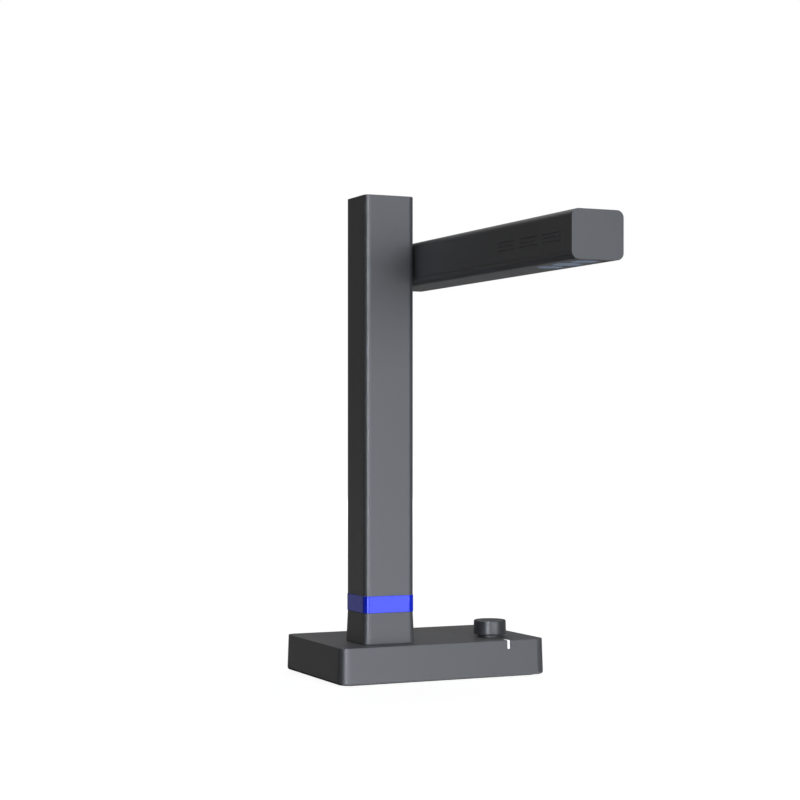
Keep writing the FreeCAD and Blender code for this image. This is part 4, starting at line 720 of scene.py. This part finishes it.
def grow(name, start, tree, sizes):
    """Run a tree on a start mesh and keep what grows as a plain object."""
    seedling = bpy.data.objects.new(name + "_start", start)
    scene.collection.objects.link(seedling)
    modifier = seedling.modifiers.new("grow", "NODES")
    modifier.node_group = tree
    for socket in tree.interface.items_tree:
        if socket.in_out == "INPUT" and socket.name in sizes:
            modifier[socket.identifier] = sizes[socket.name]
    live = seedling.evaluated_get(bpy.context.evaluated_depsgraph_get())
    mesh = bpy.data.meshes.new_from_object(live)
    bpy.data.objects.remove(seedling)
    mesh.name = name
    mesh.shade_smooth()
    mark_sharp(mesh, SHARP_ANGLE)
    piece = bpy.data.objects.new(name, mesh)
    scene.collection.objects.link(piece)
    return piece


def times(tree, value, factor):
    """A size of the tree times a plain number."""
    return add_node(tree, "ShaderNodeMath", {0: value, 1: factor}, operation="MULTIPLY").outputs[0]


print("helpers: new_tree, close_tree, mark_sharp, grow, times")

# %% [markdown]
# ## Vent holes in the arm
# The arm's left side has three groups of vent holes, each three rows of nine, three
# millimetres apart. In the frame they are six-sided, to keep it light. Here they come out
# round, and a little wider, as the photograph's dots are that dark. A grid of drills
# stands on each of three points, and a Boolean takes them all out of the housing, so the
# holes keep the real wall's depth. Two thin bars go out with them, along the lower edge of
# both sides: the photograph shows a fine dark line where housing and cover meet, and the
# bars widen the groove there.

# %% A tree that takes drills and bars out of the housing
VENT_ROWS, VENT_COLUMNS, VENT_GROUPS = 3, 9, 3
DRILL_SIDES = 16
JOIN_WITHIN = 0.03 * MM

vents, given = new_tree("vented_side", {"Hole Radius": "Float", "Hole Pitch": "Float",
                                        "Group Pitch": "Float", "Drill Length": "Float",
                                        "First Group": "Vector", "Groove": "Float",
                                        "Length": "Float", "Left Edge": "Vector",
                                        "Across": "Vector"})
grid = add_node(vents, "GeometryNodeMeshGrid",
                {"Size X": times(vents, given["Hole Pitch"], VENT_COLUMNS - 1.0),
                 "Size Y": times(vents, given["Hole Pitch"], VENT_ROWS - 1.0),
                 "Vertices X": VENT_COLUMNS, "Vertices Y": VENT_ROWS})
drill = add_node(vents, "GeometryNodeMeshCylinder", {"Vertices": DRILL_SIDES,
                                                     "Radius": given["Hole Radius"],
                                                     "Depth": given["Drill Length"]})
one_group = add_node(vents, "GeometryNodeInstanceOnPoints", {"Points": grid.outputs["Mesh"],
                                                             "Instance": drill.outputs["Mesh"]})
step = add_node(vents, "ShaderNodeCombineXYZ", {"Y": given["Group Pitch"]})
middles = add_node(vents, "GeometryNodeMeshLine", {"Count": VENT_GROUPS,
                                                   "Start Location": given["First Group"],
                                                   "Offset": step.outputs[0]}, mode="OFFSET")
drills = add_node(vents, "GeometryNodeInstanceOnPoints",
                  {"Points": middles.outputs["Mesh"], "Instance": one_group.outputs[0],
                   "Rotation": (math.radians(90), 0.0, math.radians(90))})
bar_side = times(vents, given["Groove"], 2.0)
bar_size = add_node(vents, "ShaderNodeCombineXYZ", {"X": bar_side, "Y": given["Length"],
                                                    "Z": bar_side})
bar = add_node(vents, "GeometryNodeMeshCube", {"Size": bar_size.outputs[0]})
bar_places = add_node(vents, "GeometryNodeMeshLine",
                      {"Count": 2, "Start Location": given["Left Edge"],
                       "Offset": given["Across"]}, mode="OFFSET")
bars = add_node(vents, "GeometryNodeInstanceOnPoints", {"Points": bar_places.outputs["Mesh"],
                                                        "Instance": bar.outputs["Mesh"]})
cutters = add_node(vents, "GeometryNodeJoinGeometry", {0: drills.outputs[0]})
vents.links.new(bars.outputs[0], cutters.inputs[0])
cutter_mesh = add_node(vents, "GeometryNodeRealizeInstances", {0: cutters.outputs[0]})
cut = add_node(vents, "GeometryNodeMeshBoolean", {"Mesh 1": given["Geometry"],
                                                  "Mesh 2": cutter_mesh.outputs[0]},
               operation="DIFFERENCE", solver="EXACT")
clean = add_node(vents, "GeometryNodeMergeByDistance", {"Geometry": cut.outputs["Mesh"],
                                                        "Distance": JOIN_WITHIN})
close_tree(vents, clean.outputs["Geometry"], housing_finish)

print("tree:", vents.name, "with", len(vents.nodes), "nodes")

# %% [markdown]
# The housing's triangles lie loose in the frame, and a Boolean needs a closed shape, so it
# works on a copy whose triangles are joined. The bars are a little longer than the
# housing, to run out of it at both ends. Weighted normals keep the flat sides flat next
# to the rounded edges.

# %% Cut the vent holes and the groove
VENT_SIZES = {"Hole Radius": 0.72 * MM, "Hole Pitch": 3.0 * MM, "Group Pitch": 35.45 * MM,
              "Drill Length": 4.5 * MM, "Groove": 0.5 * MM}
VENT_HEIGHT = 349.0 * MM
FIRST_GROUP = 29.4 * MM
HALF_WALL = 1.25 * MM
SEAM_HEIGHT = 5.5 * MM
BAR_TO_HOUSING = 1.01
SAME_POINT = 0.001 * MM


def merged_copy(name):
    """A node's mesh with its loose triangles joined, as a mesh of its own."""
    mesh = nodes_by_name[name].data.copy()
    shape = bmesh.new()
    shape.from_mesh(mesh)
    bmesh.ops.remove_doubles(shape, verts=shape.verts, dist=SAME_POINT)
    shape.to_mesh(mesh)
    shape.free()
    return mesh


housing_low, housing_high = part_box("arm_housing")
front_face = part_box("arm_front_cap")[0].y
seam_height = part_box("arm_bottom_cover")[0].z + SEAM_HEIGHT
vent_places = {
    "First Group": (housing_low.x + HALF_WALL, front_face + FIRST_GROUP, VENT_HEIGHT),
    "Length": BAR_TO_HOUSING * (housing_high.y - housing_low.y),
    "Left Edge": (housing_low.x, (housing_low.y + housing_high.y) / 2, seam_height),
    "Across": (housing_high.x - housing_low.x, 0.0, 0.0),
}
vented_housing = grow("vented_housing", merged_copy("arm_housing"), vents,
                      {**VENT_SIZES, **vent_places})
flat_sides = vented_housing.modifiers.new("flat_sides", "WEIGHTED_NORMAL")
flat_sides.keep_sharp = True
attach(vented_housing, "arm")
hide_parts("arm_housing")

print("vented housing:", len(vented_housing.data.polygons), "faces,",
      VENT_ROWS * VENT_COLUMNS * VENT_GROUPS, "holes")

# %% [markdown]
# ## Screws with a cross recess
# Six countersunk screws hold the bottom plate and four the arm's lower cover. Seen from
# below, what tells a screw from a plain disc is the cross in its head, and that no two
# crosses are turned alike. The tree makes a head from a cone, takes a cross out of it,
# adds the shank, and stands one on each point, turned at random from a fixed seed.

# %% A tree that stands a cross-headed screw on each point
SCREW_SIDES = 32

screws, given = new_tree("cross_screws", {"Head Radius": "Float", "Shank Radius": "Float",
                                          "Head Height": "Float", "Length": "Float",
                                          "Cross Length": "Float", "Cross Width": "Float",
                                          "Cross Depth": "Float", "Seed": "Int"})
head = add_node(screws, "GeometryNodeMeshCone", {"Vertices": SCREW_SIDES,
                                                 "Radius Top": given["Shank Radius"],
                                                 "Radius Bottom": given["Head Radius"],
                                                 "Depth": given["Head Height"]})
cross_height = times(screws, given["Cross Depth"], 2.0)
cross_bars = []
for along, across in (("Cross Length", "Cross Width"), ("Cross Width", "Cross Length")):
    size = add_node(screws, "ShaderNodeCombineXYZ", {"X": given[along], "Y": given[across],
                                                     "Z": cross_height})
    cross_bars.append(add_node(screws, "GeometryNodeMeshCube", {"Size": size.outputs[0]}))
crossed = add_node(screws, "GeometryNodeMeshBoolean",
                   {"Mesh 1": head.outputs["Mesh"], "Mesh 2": cross_bars[0].outputs["Mesh"]},
                   operation="DIFFERENCE", solver="EXACT")
screws.links.new(cross_bars[1].outputs["Mesh"], crossed.inputs["Mesh 2"])
shank_length = add_node(screws, "ShaderNodeMath", {0: given["Length"], 1: given["Head Height"]},
                        operation="SUBTRACT").outputs[0]
shank = add_node(screws, "GeometryNodeMeshCylinder", {"Vertices": SCREW_SIDES,
                                                      "Radius": given["Shank Radius"],
                                                      "Depth": shank_length})
shank_middle = add_node(screws, "ShaderNodeMath", {0: times(screws, shank_length, 0.5),
                                                   1: given["Head Height"]}, operation="ADD")
lift = add_node(screws, "ShaderNodeCombineXYZ", {"Z": shank_middle.outputs[0]})
raised = add_node(screws, "GeometryNodeTransform", {"Geometry": shank.outputs["Mesh"],
                                                    "Translation": lift.outputs[0]})
one_screw = add_node(screws, "GeometryNodeJoinGeometry", {0: crossed.outputs["Mesh"]})
screws.links.new(raised.outputs[0], one_screw.inputs[0])
turns = add_node(screws, "FunctionNodeRandomValue", {0: (0.0, 0.0, 0.0),
                                                     1: (0.0, 0.0, math.radians(90)),
                                                     "Seed": given["Seed"]},
                 data_type="FLOAT_VECTOR")
standing = add_node(screws, "GeometryNodeInstanceOnPoints",
                    {"Points": given["Geometry"], "Instance": one_screw.outputs[0],
                     "Rotation": turns.outputs[0]})
close_tree(screws, standing.outputs[0], black_steel_finish)

print("tree:", screws.name, "with", len(screws.nodes), "nodes")

# %% [markdown]
# The box of a node that holds the plain screws says where the new ones stand and how long
# they are: it reaches from the heads' undersides to the shanks' ends, and it is half a
# head wider than the rows of screws on every side.

# %% Grow the screws
SCREW_SIZES = {"Head Radius": 2.75 * MM, "Shank Radius": 1.5 * MM, "Head Height": 1.25 * MM,
               "Cross Length": 2.9 * MM, "Cross Width": 0.62 * MM, "Cross Depth": 0.95 * MM}


def grow_screws(node, body, columns, seed):
    """Screws in place of a node's plain ones, in two rows of as many columns."""
    low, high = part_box(node)
    inset = SCREW_SIZES["Head Radius"]
    span = high.x - low.x - 2 * inset
    places = bpy.data.meshes.new(node + "_places")
    places.from_pydata([(low.x + inset + span * i / (columns - 1), y, low.z)
                        for i in range(columns) for y in (low.y + inset, high.y - inset)], [], [])
    piece = grow("cross_" + node, places, screws,
                 {**SCREW_SIZES, "Length": high.z - low.z, "Seed": seed})
    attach(piece, body)
    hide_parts(node)
    return piece


for piece in (grow_screws("bottom_plate_screws", "base", columns=3, seed=4),
              grow_screws("arm_cover_screws", "arm", columns=2, seed=9)):
    print(piece.name, len(piece.data.polygons), "faces")
